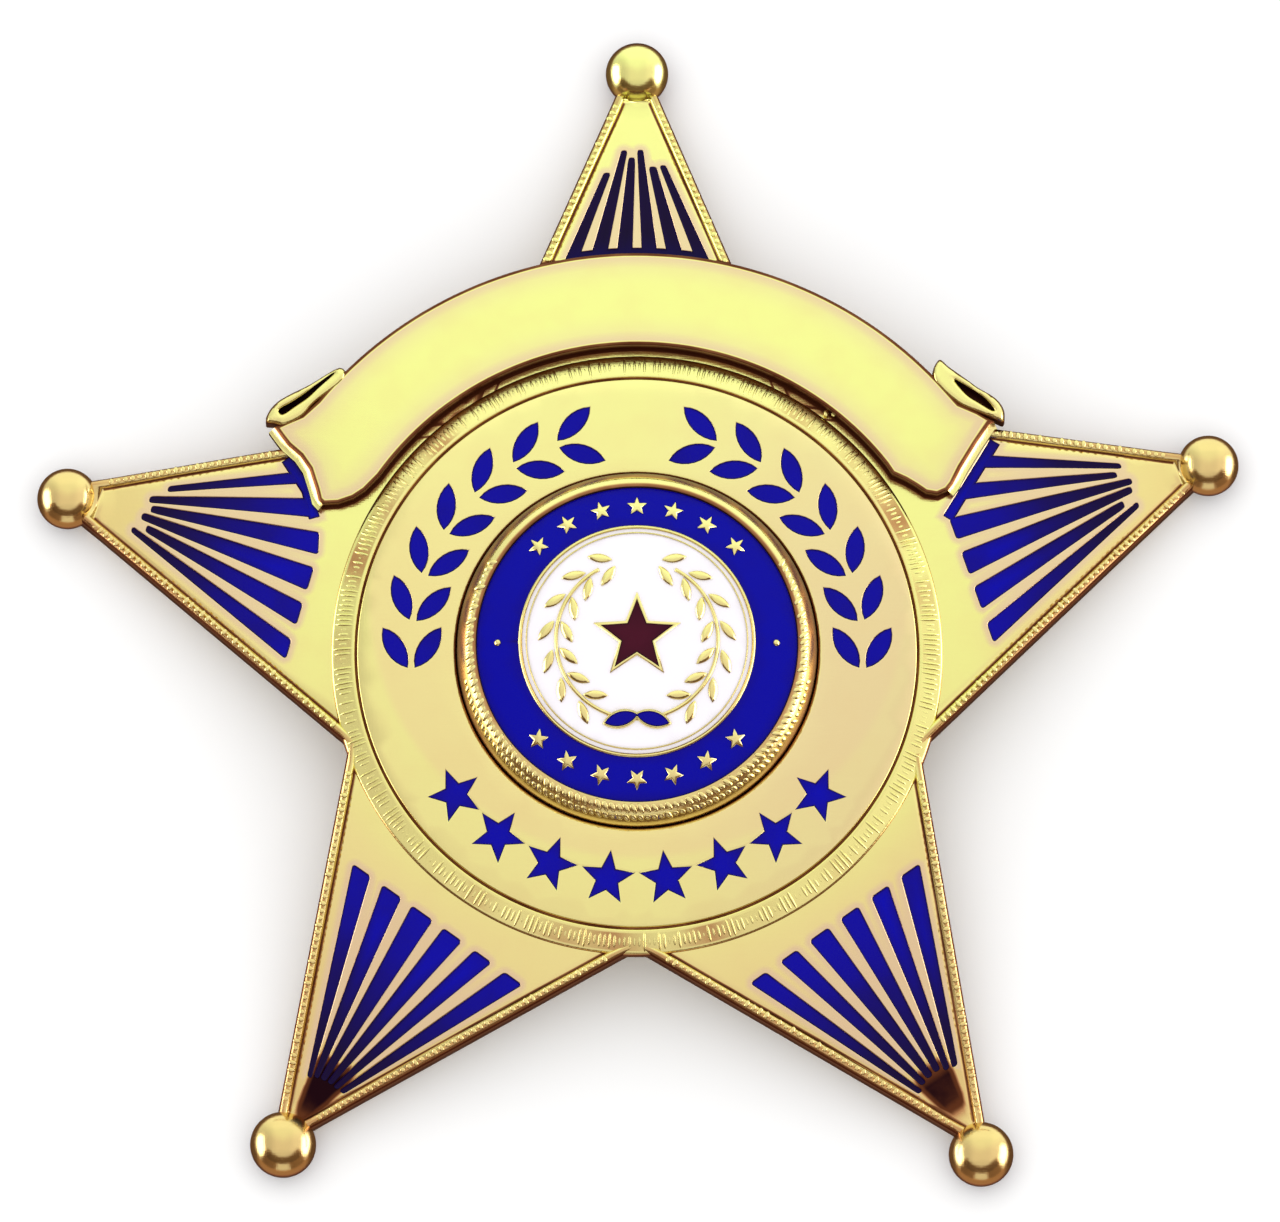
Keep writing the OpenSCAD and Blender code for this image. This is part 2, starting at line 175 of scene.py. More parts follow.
def rounded(loop: Sequence[Sequence[float]], steps: int = 4) -> Loop:
    """A closed curve that runs smoothly through the given corners."""
    p = np.array(loop, float)
    before, after, beyond = (np.roll(p, k, axis=0) for k in (1, -1, -2))
    rows = []
    for k in range(steps):
        t = k / steps
        rows.append(0.5 * (
            2 * p + (after - before) * t + (2 * before - 5 * p + 4 * after - beyond) * t ** 2
            + (3 * p - before - 3 * after + beyond) * t ** 3
        ))
    return np.stack(rows, axis=1).reshape(-1, 2)


def eased(loop: Loop, r: float) -> Loop:
    """An outline with its corners eased, starting r before each and ending r after it."""
    ways = np.roll(loop, -1, axis=0) - loop
    lengths = np.linalg.norm(ways, axis=1)
    corners = []
    for i, corner in enumerate(loop):
        a = corner - ways[i - 1] * min(r / lengths[i - 1], 0.35)
        b = corner + ways[i] * min(r / lengths[i], 0.35)
        corners += [
            (1 - t) ** 2 * a + 2 * t * (1 - t) * corner + t * t * b for t in (0, 0.33, 0.67, 1)
        ]
    return np.array(corners)


def crossing(a: np.ndarray, b: np.ndarray, r: float) -> np.ndarray:
    """Where the way from a out to b crosses a circle."""
    way = b - a
    p, q, s = way @ way, a @ way, a @ a - r * r
    return a + (-q + math.sqrt(q * q - p * s)) / p * way


def angle_of(p: np.ndarray) -> float:
    """A point's angle in degrees."""
    return math.degrees(math.atan2(p[1], p[0]))


def turned(loop: Loop, angle: float, shift: Sequence[float] = (0, 0)) -> Loop:
    """The outline turned by an angle in degrees, then shifted."""
    c, s = math.cos(math.radians(angle)), math.sin(math.radians(angle))
    return loop @ np.array([[c, s], [-s, c]]) + np.array(shift)


def leaf(length: float, width: float, steps: int = 9) -> Loop:
    """A pointed leaf along X, centred on the origin."""
    r = (length ** 2 + width ** 2) / (4 * width)
    half = math.degrees(math.asin(length / 2 / r))
    low = [polar(r, a) + (0, r - width / 2) for a in np.linspace(270 - half, 270 + half, steps)]
    high = [polar(r, a) + (0, width / 2 - r) for a in np.linspace(90 - half, 90 + half, steps)]
    return np.array(low[:-1] + high[:-1])


def star(r: float, inner: float) -> Loop:
    """A five-pointed star, one point up."""
    return np.array([polar(inner if k % 2 else r, 90 + 36 * k) for k in range(10)])


def depth_in(points: np.ndarray, loops: Sequence[Loop], reach: float = 0.8) -> np.ndarray:
    """How far points lie from the nearest of several outlines.

    Args:
        points: The points, one a row.
        loops: Closed outlines, whose union counts.
        reach: Beyond this distance a point is only known to be outside.

    Returns:
        The distances, negative inside an outline.
    """
    best = np.full(len(points), reach)
    for loop in loops:
        near = np.all((points > loop.min(0) - reach) & (points < loop.max(0) + reach), axis=1)
        p = points[near]
        if not len(p):
            continue
        ab = np.roll(loop, -1, axis=0) - loop
        rel = p[:, None, :] - loop[None]
        t = np.clip((rel * ab).sum(-1) / (ab * ab).sum(-1), 0, 1)
        gap = np.linalg.norm(rel - t[..., None] * ab, axis=-1).min(1)
        end_y = loop[:, 1] + ab[:, 1]
        spans = (loop[:, 1] > p[:, 1:]) != (end_y > p[:, 1:])
        slope = ab[:, 0] / np.where(ab[:, 1] == 0, 1, ab[:, 1])
        hits = spans & (p[:, :1] < loop[:, 0] + (p[:, 1:] - loop[:, 1]) * slope)
        best[near] = np.minimum(best[near], np.where(hits.sum(1) % 2 == 1, -gap, gap))
    return best


def from_wall(points: np.ndarray, solid: Sequence[Loop], holes: Sequence[Loop]) -> np.ndarray:
    """How far points lie inside a solid with holes, from its nearest wall."""
    free = depth_in(points, holes) if holes else np.full(len(points), FAR)
    return np.minimum(-depth_in(points, solid), free)


def off_line(points: np.ndarray, line: Sequence[np.ndarray]) -> np.ndarray:
    """Distance of each point from an open line."""
    best = np.full(len(points), np.inf)
    for a, b in zip(line[:-1], line[1:]):
        t = np.clip(((points - a) @ (b - a)) / ((b - a) @ (b - a)), 0, 1)
        best = np.minimum(best, np.linalg.norm(points - a - t[:, None] * (b - a), axis=1))
    return best


def front(points: np.ndarray) -> np.ndarray:
    """Height of the domed front of the plate."""
    return FRONT_TOP - DOME_R + np.sqrt(DOME_R ** 2 - (points ** 2).sum(1))


def front_at(x: float, y: float) -> float:
    """Height of the domed front at one place."""
    return float(front(np.array([[x, y]]))[0])


def ring_at(r: float, angles: np.ndarray, z: float) -> np.ndarray:
    """Points at one radius and height, and at angles in radians."""
    return np.column_stack([r * np.cos(angles), r * np.sin(angles), np.full(len(angles), z)])


def over_front(h: float) -> Height:
    """A face that runs at height h over the domed front."""
    return lambda p: front(p) + h


def rim_drop(s: np.ndarray, rim: float = RIM, steep: float = 1.5) -> np.ndarray:
    """How far a rounded rim falls at distance s from the wall below it."""
    return -steep * np.clip(rim - s, 0, None) ** 2 / (2 * rim)


# ---------------------------------------------------------------- meshes


def middle_of_rings() -> tuple[float, float]:
    """Where the middle of the rings lies in the shared frame, in metres."""
    low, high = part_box("seal_disc")
    return (low.x + high.x) / 2, (low.y + high.y) / 2


def linked(name: str, data: bpy.types.ID) -> bpy.types.Object:
    """A new object that stands in the scene."""
    item = bpy.data.objects.new(name, data)
    bpy.context.scene.collection.objects.link(item)
    return item


def untarnished(v: float, turn: float) -> float:
    """No tarnish anywhere."""
    return 0.0


class Shape:
    """A mesh being gathered in millimetres, with its own corner normals, tarnish and painted shade.
    """

    def __init__(self) -> None:
        """Starts empty."""
        self.points: list[Sequence[float]] = []
        self.faces: list[Sequence[int]] = []
        self.normals: list[Sequence[float]] = []
        self.tarnish_and_shade: list[float] = []

    def add(self, points: np.ndarray) -> int:
        """Adds points and gives the index of the first."""
        start = len(self.points)
        self.points.extend(map(tuple, points))
        return start

    def face(
        self,
        corners: Sequence[int],
        normals: Sequence[Sequence[float]] | None = None,
        tarnish_and_shade: Sequence[float] | float = 0.0,
    ) -> None:
        """Adds a face; without normals it is shaded smoothly from its neighbours."""
        count = len(corners)
        self.faces.append(tuple(corners))
        self.normals.extend(normals if normals is not None else [(0, 0, 0)] * count)
        self.tarnish_and_shade.extend([tarnish_and_shade] * count if isinstance(tarnish_and_shade, float) else tarnish_and_shade)

    def rings(
        self,
        rows: np.ndarray,
        wrap: bool = False,
        tarnish_and_shade: Callable[[float, float], float] = untarnished,
    ) -> None:
        """Joins closed rings of points into one skin.

        Args:
            rows: Rings, then points round each ring, then coordinates; each ring runs
                counter-clockwise seen from beyond the last one.
            wrap: Whether the last ring joins the first; otherwise both ends are capped.
            tarnish_and_shade: Tarnish and painted shade at a share of the way from the first ring
                to the
            last, and a share of the way round.
        """
        count, around = rows.shape[:2]
        start = self.add(rows.reshape(-1, 3))

        def at(i: int, k: int) -> int:
            """Index of a point of a ring."""
            return start + (i % count) * around + k % around

        for i in range(count if wrap else count - 1):
            for k in range(around):
                ends = ((i, k), (i, k + 1), (i + 1, k + 1), (i + 1, k))
                self.face(
                    [at(*end) for end in ends], None,
                    [float(tarnish_and_shade(v / count, turn / around)) for v, turn in ends],
                )
        if not wrap:
            for i, step in ((0, -1), (count - 1, 1)):
                middle = self.add(rows[i].mean(0)[None])
                for k in range(around):
                    ring = [at(i, k), at(i, k + 1)][::step]
                    self.face([*ring, middle], None, float(tarnish_and_shade(i / count, k / around)))

    def lathe(
        self,
        profile: Sequence[Sequence[float]],
        segments: int = 96,
        centre: Sequence[float] = (0, 0),
        wrap: bool = False,
        tarnish_and_shade: Callable[[float, float], float] = untarnished,
    ) -> None:
        """Turns a profile of radius and height round an upright axis, from the bottom up."""
        a = np.arange(segments) * 2 * math.pi / segments
        self.rings(np.array([ring_at(r, a, z) + (*centre, 0) for r, z in profile]), wrap, tarnish_and_shade)

    def tube(
        self, path: np.ndarray, radii: Sequence[float], segments: int, squash: float = 1.0
    ) -> None:
        """A round bar along a path, with a radius for each of its points."""
        ways = np.gradient(path, axis=0)
        ways /= np.linalg.norm(ways, axis=1)[:, None]
        a = np.arange(segments) * 2 * math.pi / segments
        rows = []
        for p, way, r in zip(path, ways, radii):
            hint = np.array([0, 1, 0]) if abs(way[1]) < 0.9 else np.array([1, 0, 0])
            side = np.cross(hint, way)
            side /= np.linalg.norm(side)
            up = np.cross(way, side)
            rows.append(p + r * (np.cos(a)[:, None] * side + squash * np.sin(a)[:, None] * up))
        self.rings(np.array(rows))

    def placed(self) -> np.ndarray:
        """The points in metres, in the shared frame."""
        return np.array(self.points) * MM + (*middle_of_rings(), 0)

    def to_object(self, name: str, material: bpy.types.Material) -> bpy.types.Object:
        """Makes the object, without the points that no face uses."""
        used = sorted({v for corners in self.faces for v in corners})
        index = {v: k for k, v in enumerate(used)}
        faces = [[index[v] for v in corners] for corners in self.faces]
        mesh = bpy.data.meshes.new(name)
        mesh.from_pydata(self.placed()[used].tolist(), [], faces)
        mesh.materials.append(material)
        mesh.polygons.foreach_set("use_smooth", [True] * len(self.faces))
        mesh.set_sharp_from_angle(angle=math.radians(SHARP))
        stain_and_shade = mesh.attributes.new("tarnish_and_shade", "FLOAT", "CORNER")
        stain_and_shade.data.foreach_set("value", self.tarnish_and_shade)
        mesh.normals_split_custom_set([tuple(n) for n in self.normals])
        return linked(name, mesh)


class Level(Enum):
    """The faces of a struck piece."""

    FACE = 0
    FLOOR = 1
    BACK = 2


@dataclass
class Relief:
    """A struck piece: an outline whose face and back are heights, with pockets sunk in it.

    Attributes:
        solid: Outlines whose union is the piece.
        face: Height of the face.
        back: Height of the back.
        holes: Outlines cut right through.
        pockets: Outlines sunk to the floor.
        floor: Height of the pockets' floor.
        lines: Closed lines along which the face bends.
        creases: Open lines along which it bends.
        pitch: Spacing of the points that carry the curved face between lines.
        tarnish_and_shade: Tarnish and painted shade of the face.
        wall_shade: Painted shade of the walls, at the top and at the foot.
        depth: Painted shade of the pockets' floor.
    """

    solid: list[Loop]
    face: Height
    back: Height
    holes: list[Loop] = field(default_factory=list)
    pockets: list[Loop] = field(default_factory=list)
    floor: Height | None = None
    lines: list[Loop] = field(default_factory=list)
    creases: list[Sequence[np.ndarray]] = field(default_factory=list)
    pitch: float = 1.3
    tarnish_and_shade: Height | None = None
    wall_shade: tuple[float, float] = (0.5, 0.9)
    depth: float = 1.0

    def _triangles(self) -> tuple[np.ndarray, np.ndarray]:
        """Cuts the plane along every line, and fills it with points between them."""
        points: list[tuple[float, float]] = []
        edges: list[tuple[int, int]] = []
        bends = [*self.solid, *self.holes, *self.pockets, *self.lines]
        for loop in bends:
            start, count = len(points), len(loop)
            points.extend(map(tuple, loop))
            edges.extend((start + k, start + (k + 1) % count) for k in range(count))
        for line in self.creases:
            start = len(points)
            points.extend(map(tuple, line))
            edges.extend((start + k, start + k + 1) for k in range(len(line) - 1))
        low = np.min([l.min(0) for l in self.solid], axis=0)
        high = np.max([l.max(0) for l in self.solid], axis=0)
        rows = np.arange(low[1], high[1], self.pitch * ROW_SHARE)
        grid = np.array([
            (x, y)
            for k, y in enumerate(rows)
            for x in np.arange(low[0] + (k % 2) * self.pitch / 2, high[0], self.pitch)
        ])
        inside = depth_in(grid, self.solid) < -0.1
        apart = np.min([np.abs(depth_in(grid, [b])) for b in bends], axis=0) > self.pitch / 4
        points.extend(map(tuple, grid[inside & apart]))
        cut = delaunay_2d_cdt([Vector(p) for p in points], edges, [], 0, 1e-5, False)
        return np.array([tuple(v) for v in cut[0]]), np.array(cut[2])

    def build(self, shape: Shape) -> Shape:
        """Adds the piece to a shape.

        Args:
            shape: The shape that takes the faces.

        Returns:
            The same shape.
        """
        plane, tris = self._triangles()
        a, b, c = (plane[tris[:, k]] for k in range(3))
        ab, ac = b - a, c - a
        twice = ab[:, 0] * ac[:, 1] - ab[:, 1] * ac[:, 0]
        tris = np.where((twice < 0)[:, None], tris[:, ::-1], tris)[np.abs(twice) > 1e-9]
        middle = plane[tris].mean(1)
        keep = depth_in(middle, self.solid) < 0
        if self.holes:
            keep &= depth_in(middle, self.holes) > 0
        tris, middle = tris[keep], middle[keep]
        sunk = (
            depth_in(middle, self.pockets) < 0 if self.pockets else np.zeros(len(tris), bool)
        )
        heights = {Level.FACE: self.face, Level.FLOOR: self.floor, Level.BACK: self.back}
        start, normals = {}, {}
        for level, height in heights.items():
            if height is not None:
                start[level] = shape.add(np.column_stack([plane, height(plane)]))
                normals[level] = self._normals(plane, height, level is Level.BACK)
        stain_and_shade = self.tarnish_and_shade(plane) if self.tarnish_and_shade else np.zeros(len(plane))
        owners: dict[tuple[int, int], Level] = {}
        for tri, low in zip(tris.tolist(), sunk.tolist()):
            level = Level.FLOOR if low else Level.FACE
            dark = [self.depth] * 3 if low else [float(stain_and_shade[v]) for v in tri]
            under = tri[::-1]
            for side, corners, shade in ((level, tri, dark), (Level.BACK, under, BACK_TARNISH)):
                shape.face(
                    [start[side] + v for v in corners], [normals[side][v] for v in corners], shade
                )
            for k in range(3):
                owners[tri[k], tri[(k + 1) % 3]] = level
        walls = []
        for (i, j), level in owners.items():
            if (j, i) not in owners:
                walls.append((i, j, level, Level.BACK))
            elif level is Level.FACE and owners[j, i] is Level.FLOOR:
                walls.append((i, j, level, Level.FLOOR))
        self._walls(shape, plane, walls, start)
        return shape

    @staticmethod
    def _normals(plane: np.ndarray, height: Height, under: bool) -> np.ndarray:
        """Upright normals of a height, or downward ones for the back."""
        step = 0.004
        slopes = [
            (height(plane + way) - height(plane - way)) / (2 * step)
            for way in (np.array([step, 0]), np.array([0, step]))
        ]
        n = np.column_stack([-slopes[0], -slopes[1], np.ones(len(plane))])
        n /= np.linalg.norm(n, axis=1)[:, None]
        return -n if under else n

    def _walls(
        self,
        shape: Shape,
        plane: np.ndarray,
        walls: list[tuple[int, int, Level, Level]],
        start: dict[Level, int],
    ) -> None:
        """Adds the upright walls along the outline and round the pockets.

        Args:
            shape: The shape that takes the faces.
            plane: The points, seen from above.
            walls: Both ends of each wall, and the levels at its top and its foot.
            start: Index of each level's first point.
        """
        ways, at = [], {}
        for index, (i, j, _, _) in enumerate(walls):
            way = unit(plane[j] - plane[i])
            ways.append(np.array([way[1], -way[0], 0]))
            at.setdefault(i, []).append(index)
            at.setdefault(j, []).append(index)
        top, foot = self.wall_shade
        for index, (i, j, high, low) in enumerate(walls):
            ends = []
            for v in (i, j):
                near = [ways[k] for k in at[v] if ways[k] @ ways[index] > MAX_BEND]
                total = np.sum(near, axis=0)
                ends.append(total / np.linalg.norm(total))
            shape.face(
                [start[low] + i, start[low] + j, start[high] + j, start[high] + i],
                [ends[0], ends[1], ends[1], ends[0]],
                [foot, foot, top, top],
            )


# ---------------------------------------------------------------- node trees


def operator(name: str, reflected: bool = False) -> Callable[["Sock", "Sock | float"], "Sock"]:
    """Makes an operator for sockets.

    Args:
        name: The Math node's operation.
        reflected: Whether the socket stands on the right.

    Returns:
        A method that adds the node.
    """

    def apply(self: "Sock", other: "Sock | float") -> "Sock":
        """Adds the node."""
        first, second = (other, self) if reflected else (self, other)
        return self.tree.node("ShaderNodeMath", {"operation": name}, {0: first, 1: second})

    return apply


class Sock:
    """An output socket that can be used in sums."""

    __add__, __radd__ = operator("ADD"), operator("ADD", True)
    __sub__, __rsub__ = operator("SUBTRACT"), operator("SUBTRACT", True)
    __mul__, __rmul__ = operator("MULTIPLY"), operator("MULTIPLY", True)

    def __init__(self, tree: "Tree", socket: bpy.types.NodeSocket) -> None:
        """Wraps a socket of a tree."""
        self.tree, self.socket = tree, socket

    def __abs__(self) -> "Sock":
        """Size without sign."""
        return self.tree.node("ShaderNodeMath", {"operation": "ABSOLUTE"}, {0: self})

    def between(self, low: float, high: float) -> "Sock":
        """Smooth step from 0 at low to 1 at high."""
        return self.tree.node(
            "ShaderNodeMapRange", {"interpolation_type": "SMOOTHSTEP"}, {0: self, 1: low, 2: high}
        )


class Tree:
    """Builds a node tree: shader, world or geometry."""

    def __init__(self, tree: bpy.types.NodeTree) -> None:
        """Starts on an empty tree."""
        self.tree = tree
        tree.nodes.clear()

    def node(
        self,
        kind: str,
        settings: dict[str, object] | None = None,
        sockets: dict[int | str, object] | None = None,
        output: int | str = 0,
    ) -> Sock:
        """Adds a node.

        Args:
            kind: The node's type.
            settings: Its settings, set first.
            sockets: Values or links for its inputs, by index or name.
            output: The output that is wanted.

        Returns:
            The output socket.
        """
        node = self.tree.nodes.new(kind)
        for key, value in (settings or {}).items():
            setattr(node, key, value)
        for key, value in (sockets or {}).items():
            if isinstance(value, Sock):
                self.tree.links.new(value.socket, node.inputs[key])
            else:
                node.inputs[key].default_value = value
        return Sock(self, node.outputs[output] if len(node.outputs) else None)

    def mix(self, share: Sock | float, a: Sock | Colour, b: Sock | Colour) -> Sock:
        """Mixes two colours."""
        first, second = (c if isinstance(c, Sock) else (*c, 1.0) for c in (a, b))
        return self.node(
            "ShaderNodeMix", {"data_type": "RGBA"}, {0: share, 6: first, 7: second}, 2
        )

    def place(self) -> Sock:
        """The object's own coordinates, in metres."""
        return self.node("ShaderNodeTexCoord", output="Object")

    def length(self, vector: Sock) -> Sock:
        """Length of a vector."""
        return self.node("ShaderNodeVectorMath", {"operation": "LENGTH"}, {0: vector}, "Value")

    def tarnish_and_shade(self) -> Sock:
        """The tarnish and painted shade that the mesh carries."""
        return self.node("ShaderNodeAttribute", {"attribute_name": "tarnish_and_shade"}, output="Fac")

    def bump(self, strength: float, distance: float, height: Sock) -> Sock:
        """Normals bent by a height, with its full distance in millimetres."""
        return self.node("ShaderNodeBump", {}, {
            "Strength": strength, "Distance": MM * distance, "Height": height,
        })

    def surface(self, sockets: dict[str, object]) -> None:
        """Ends a material in a principled shader with the given sockets."""
        shader = self.node("ShaderNodeBsdfPrincipled", {}, sockets)
        self.node("ShaderNodeOutputMaterial", {}, {"Surface": shader})

    def noise(self, place: Sock, scale: float, detail: float = 2.0) -> Sock:
        """Soft noise over a place."""
        return self.node(
            "ShaderNodeTexNoise", {}, {"Vector": place, "Scale": scale, "Detail": detail}
        )

    def stretched(self, place: Sock, scale: Sequence[float], turn: float = 0.0) -> Sock:
        """A place turned about Z and stretched."""
        return self.node(
            "ShaderNodeMapping", {}, {"Vector": place, "Rotation": (0, 0, turn), "Scale": scale}
        )

    def axes(self, place: Sock) -> tuple[Sock, Sock, Sock]:
        """The three parts of a vector."""
        x = self.node("ShaderNodeSeparateXYZ", {}, {0: place})
        y, z = (Sock(self, x.socket.node.outputs[k]) for k in (1, 2))
        return x, y, z


def new_material(name: str) -> tuple[bpy.types.Material, Tree]:
    """A material and the builder of its nodes."""
    material = bpy.data.materials.new(name)
    material.use_nodes = True
    return material, Tree(material.node_tree)


@dataclass(frozen=True)
class GoldFinish:
    """Gold plate: lemon and tan reflections painted in by place, brown with tarnish and painted
    shade.

    Attributes:
        name: Name of the material.
        lemon_reflection: Colour painted where the plate mirrors the lemon light, in the middle and
            high up.
        tan: Colour of the plate where it mirrors the warmer light, at the sides and on the arms.
        rose_reflection: Colour painted near the tips, where their slope mirrors a darker light.
        blush_shading: Colour where the tarnish attribute is below zero, a pink shading painted in
        near the banner's edges, beside the pockets and on the flat ring.
        copper: Colour of the thin tarnish and painted shade beside grooves.
        brown: Colour of the tarnish and painted shade in grooves and on walls.
        painted_dark: Colour of the deepest painted dark: the dark reflection at the lower tips and
        the shade in the curls' slots.
        spots: Colour of the faint spots all over.
        roughness: Roughness of the polished face.
        grain: Strength of the fine grain.
        scratches: Strength of the hairline scratches.
    """

    name: str
    lemon_reflection: Colour = (0.89, 0.86, 0.31)
    tan: Colour = (0.88, 0.75, 0.32)
    rose_reflection: Colour = (0.78, 0.56, 0.23)
    blush_shading: Colour = (0.80, 0.60, 0.38)
    copper: Colour = (0.52, 0.24, 0.10)
    brown: Colour = (0.12, 0.035, 0.014)
    painted_dark: Colour = (0.016, 0.004, 0.007)
    spots: Colour = (0.80, 0.52, 0.25)
    roughness: float = 0.16
    grain: float = 0.6
    scratches: float = 0.5

    def material(self) -> bpy.types.Material:
        """Builds the material."""
        material, t = new_material(self.name)
        place = t.place()
        x, y, _ = t.axes(place)
        cloud, patch = t.noise(place, 75.0), t.noise(place, 420.0, 4.0)
        reach, tarnish_and_shade = t.length(place), t.tarnish_and_shade()
        # painted reflections: lemon in the middle and past the milled ring, tan at the sides and on
        # the arms
        milled, arms = reach.between(0.0168, 0.0176), reach.between(0.0205, 0.0250)
        lemon_reflection = (
            0.38 + 22.0 * y - 14.0 * abs(x) + 0.4 * (cloud - 0.5) + 0.72 * milled - 0.75 * arms
        ).between(0.0, 1.0)
        # painted reflection: a rose tone towards the side and lower tips
        tips = (reach - 0.22 * (y + abs(y)) + 0.006 * (cloud - 0.5)).between(0.021, 0.035)
        # tarnish and painted shade from the attribute, broken up by patches
        dirt_and_shade = (tarnish_and_shade * (0.75 + 0.5 * patch)).between(0.08, 0.95)
        colour: Sock | Colour = self.tan
        for share, layer in (
            (lemon_reflection, self.lemon_reflection),
            (0.75 * tips, self.rose_reflection),
            # pink shading painted where the attribute is below zero
            ((0.0 - tarnish_and_shade).between(0.0, 1.0), self.blush_shading),
            (0.10 * patch.between(0.4, 0.75), self.spots),
            (dirt_and_shade.between(0.0, 0.6), self.copper),
            (dirt_and_shade.between(0.35, 1.0), self.brown),
            ((tarnish_and_shade + (patch - 0.5)).between(1.0, 1.8), self.painted_dark),
        ):
            colour = t.mix(share, colour, layer)
        # two sets of hairline scratches over a fine grain
        hair = t.noise(t.stretched(place, (900.0, 22000.0, 900.0), 0.6), 1.0, 1.0)
        cross = t.noise(t.stretched(place, (17000.0, 800.0, 800.0), -0.3), 1.0, 1.0)
        relief = self.grain * t.noise(place, 5200.0, 3.0) + self.scratches * (hair + cross)
        rough = (
            self.roughness + 0.10 * (patch - 0.5) + 0.07 * hair.between(0.6, 0.8) + 0.25 * dirt_and_shade
        )
        t.surface({
            "Base Color": colour, "Metallic": 1.0, "Roughness": rough,
            "Normal": t.bump(0.35, 0.02, relief),
        })
        return material


@dataclass(frozen=True)
class EnamelFinish:
    """Glossy hard enamel, darker towards the tips and high on the badge, with painted shade at the
    metal.

    Attributes:
        name: Name of the material.
        full: Colour near the middle of the badge.
        tip_tone: Colour towards the tips.
        edge: Colour of the painted shade along the metal.
        near: Radius in millimetres within which the colour is full.
        far: Radius in millimetres beyond which it is thin.
        upper: How much nearer to thin it is high on the badge, in millimetres.
        speckle: How much the tone wanders.
        gloss: Strength of the mirrored light.
    """

    name: str
    full: Colour
    tip_tone: Colour
    edge: Colour
    near: float = 20.0
    far: float = 31.0
    upper: float = 5.5
    speckle: float = 0.25
    gloss: float = 0.08

    def material(self) -> bpy.types.Material:
        """Builds the material."""
        material, t = new_material(self.name)
        place = t.place()
        centred = t.node("ShaderNodeVectorMath", {"operation": "SUBTRACT"}, {
            0: place, 1: (*middle_of_rings(), FRONT_TOP * MM),
        })
        cloud = t.noise(place, 260.0, 3.0)
        # darker towards the tips and high on the badge
        upper = self.upper * MM * t.axes(place)[1].between(0.006, 0.030)
        tip_share = (t.length(centred) + upper + 0.003 * (cloud - 0.5)).between(
            self.near * MM, self.far * MM
        )
        colour = t.mix(tip_share, self.full, self.tip_tone)
        colour = t.mix(self.speckle * cloud.between(0.45, 0.75), colour, self.edge)
        t.surface({
            # painted shade along the metal, from the tarnish attribute
            "Base Color": t.mix(t.tarnish_and_shade(), colour, self.edge),
            "Roughness": 0.18 + 0.10 * cloud, "Specular IOR Level": self.gloss,
            "Normal": t.bump(0.25, 0.05, t.noise(place, 1500.0, 2.0)),
        })
        return material


class Finishes:
    """Every finish of the badge, made once."""

    def __init__(self) -> None:
        """Makes the materials."""
        self.gold = GoldFinish("gold_polished").material()
        self.milled = GoldFinish("gold_milled", roughness=0.24, grain=1.0).material()
        self.back = GoldFinish(
            "gold_back", roughness=0.34, grain=2.4, scratches=1.2, lemon_reflection=(0.93, 0.80, 0.36)
        ).material()
        # each enamel's third colour is its painted shade along the metal
        self.blue = EnamelFinish(
            "blue_enamel", (0.001, 0.0005, 0.36), (0.006, 0.001, 0.022), (0.008, 0.001, 0.045)
        ).material()
        blue, white, maroon = (0.001, 0.0005, 0.30), (0.88, 0.85, 0.90), (0.055, 0.003, 0.014)
        self.seal_blue = EnamelFinish(
            "seal_blue_enamel", blue, blue, (0.008, 0.001, 0.08), speckle=0.12
        ).material()
        self.white = EnamelFinish(
            "white_enamel", white, white, (0.55, 0.48, 0.46), speckle=0.05, gloss=0.3
        ).material()
        self.maroon = EnamelFinish(
            "maroon_enamel", maroon, maroon, (0.016, 0.001, 0.005)
        ).material()


# ---------------------------------------------------------------- rows of small forms


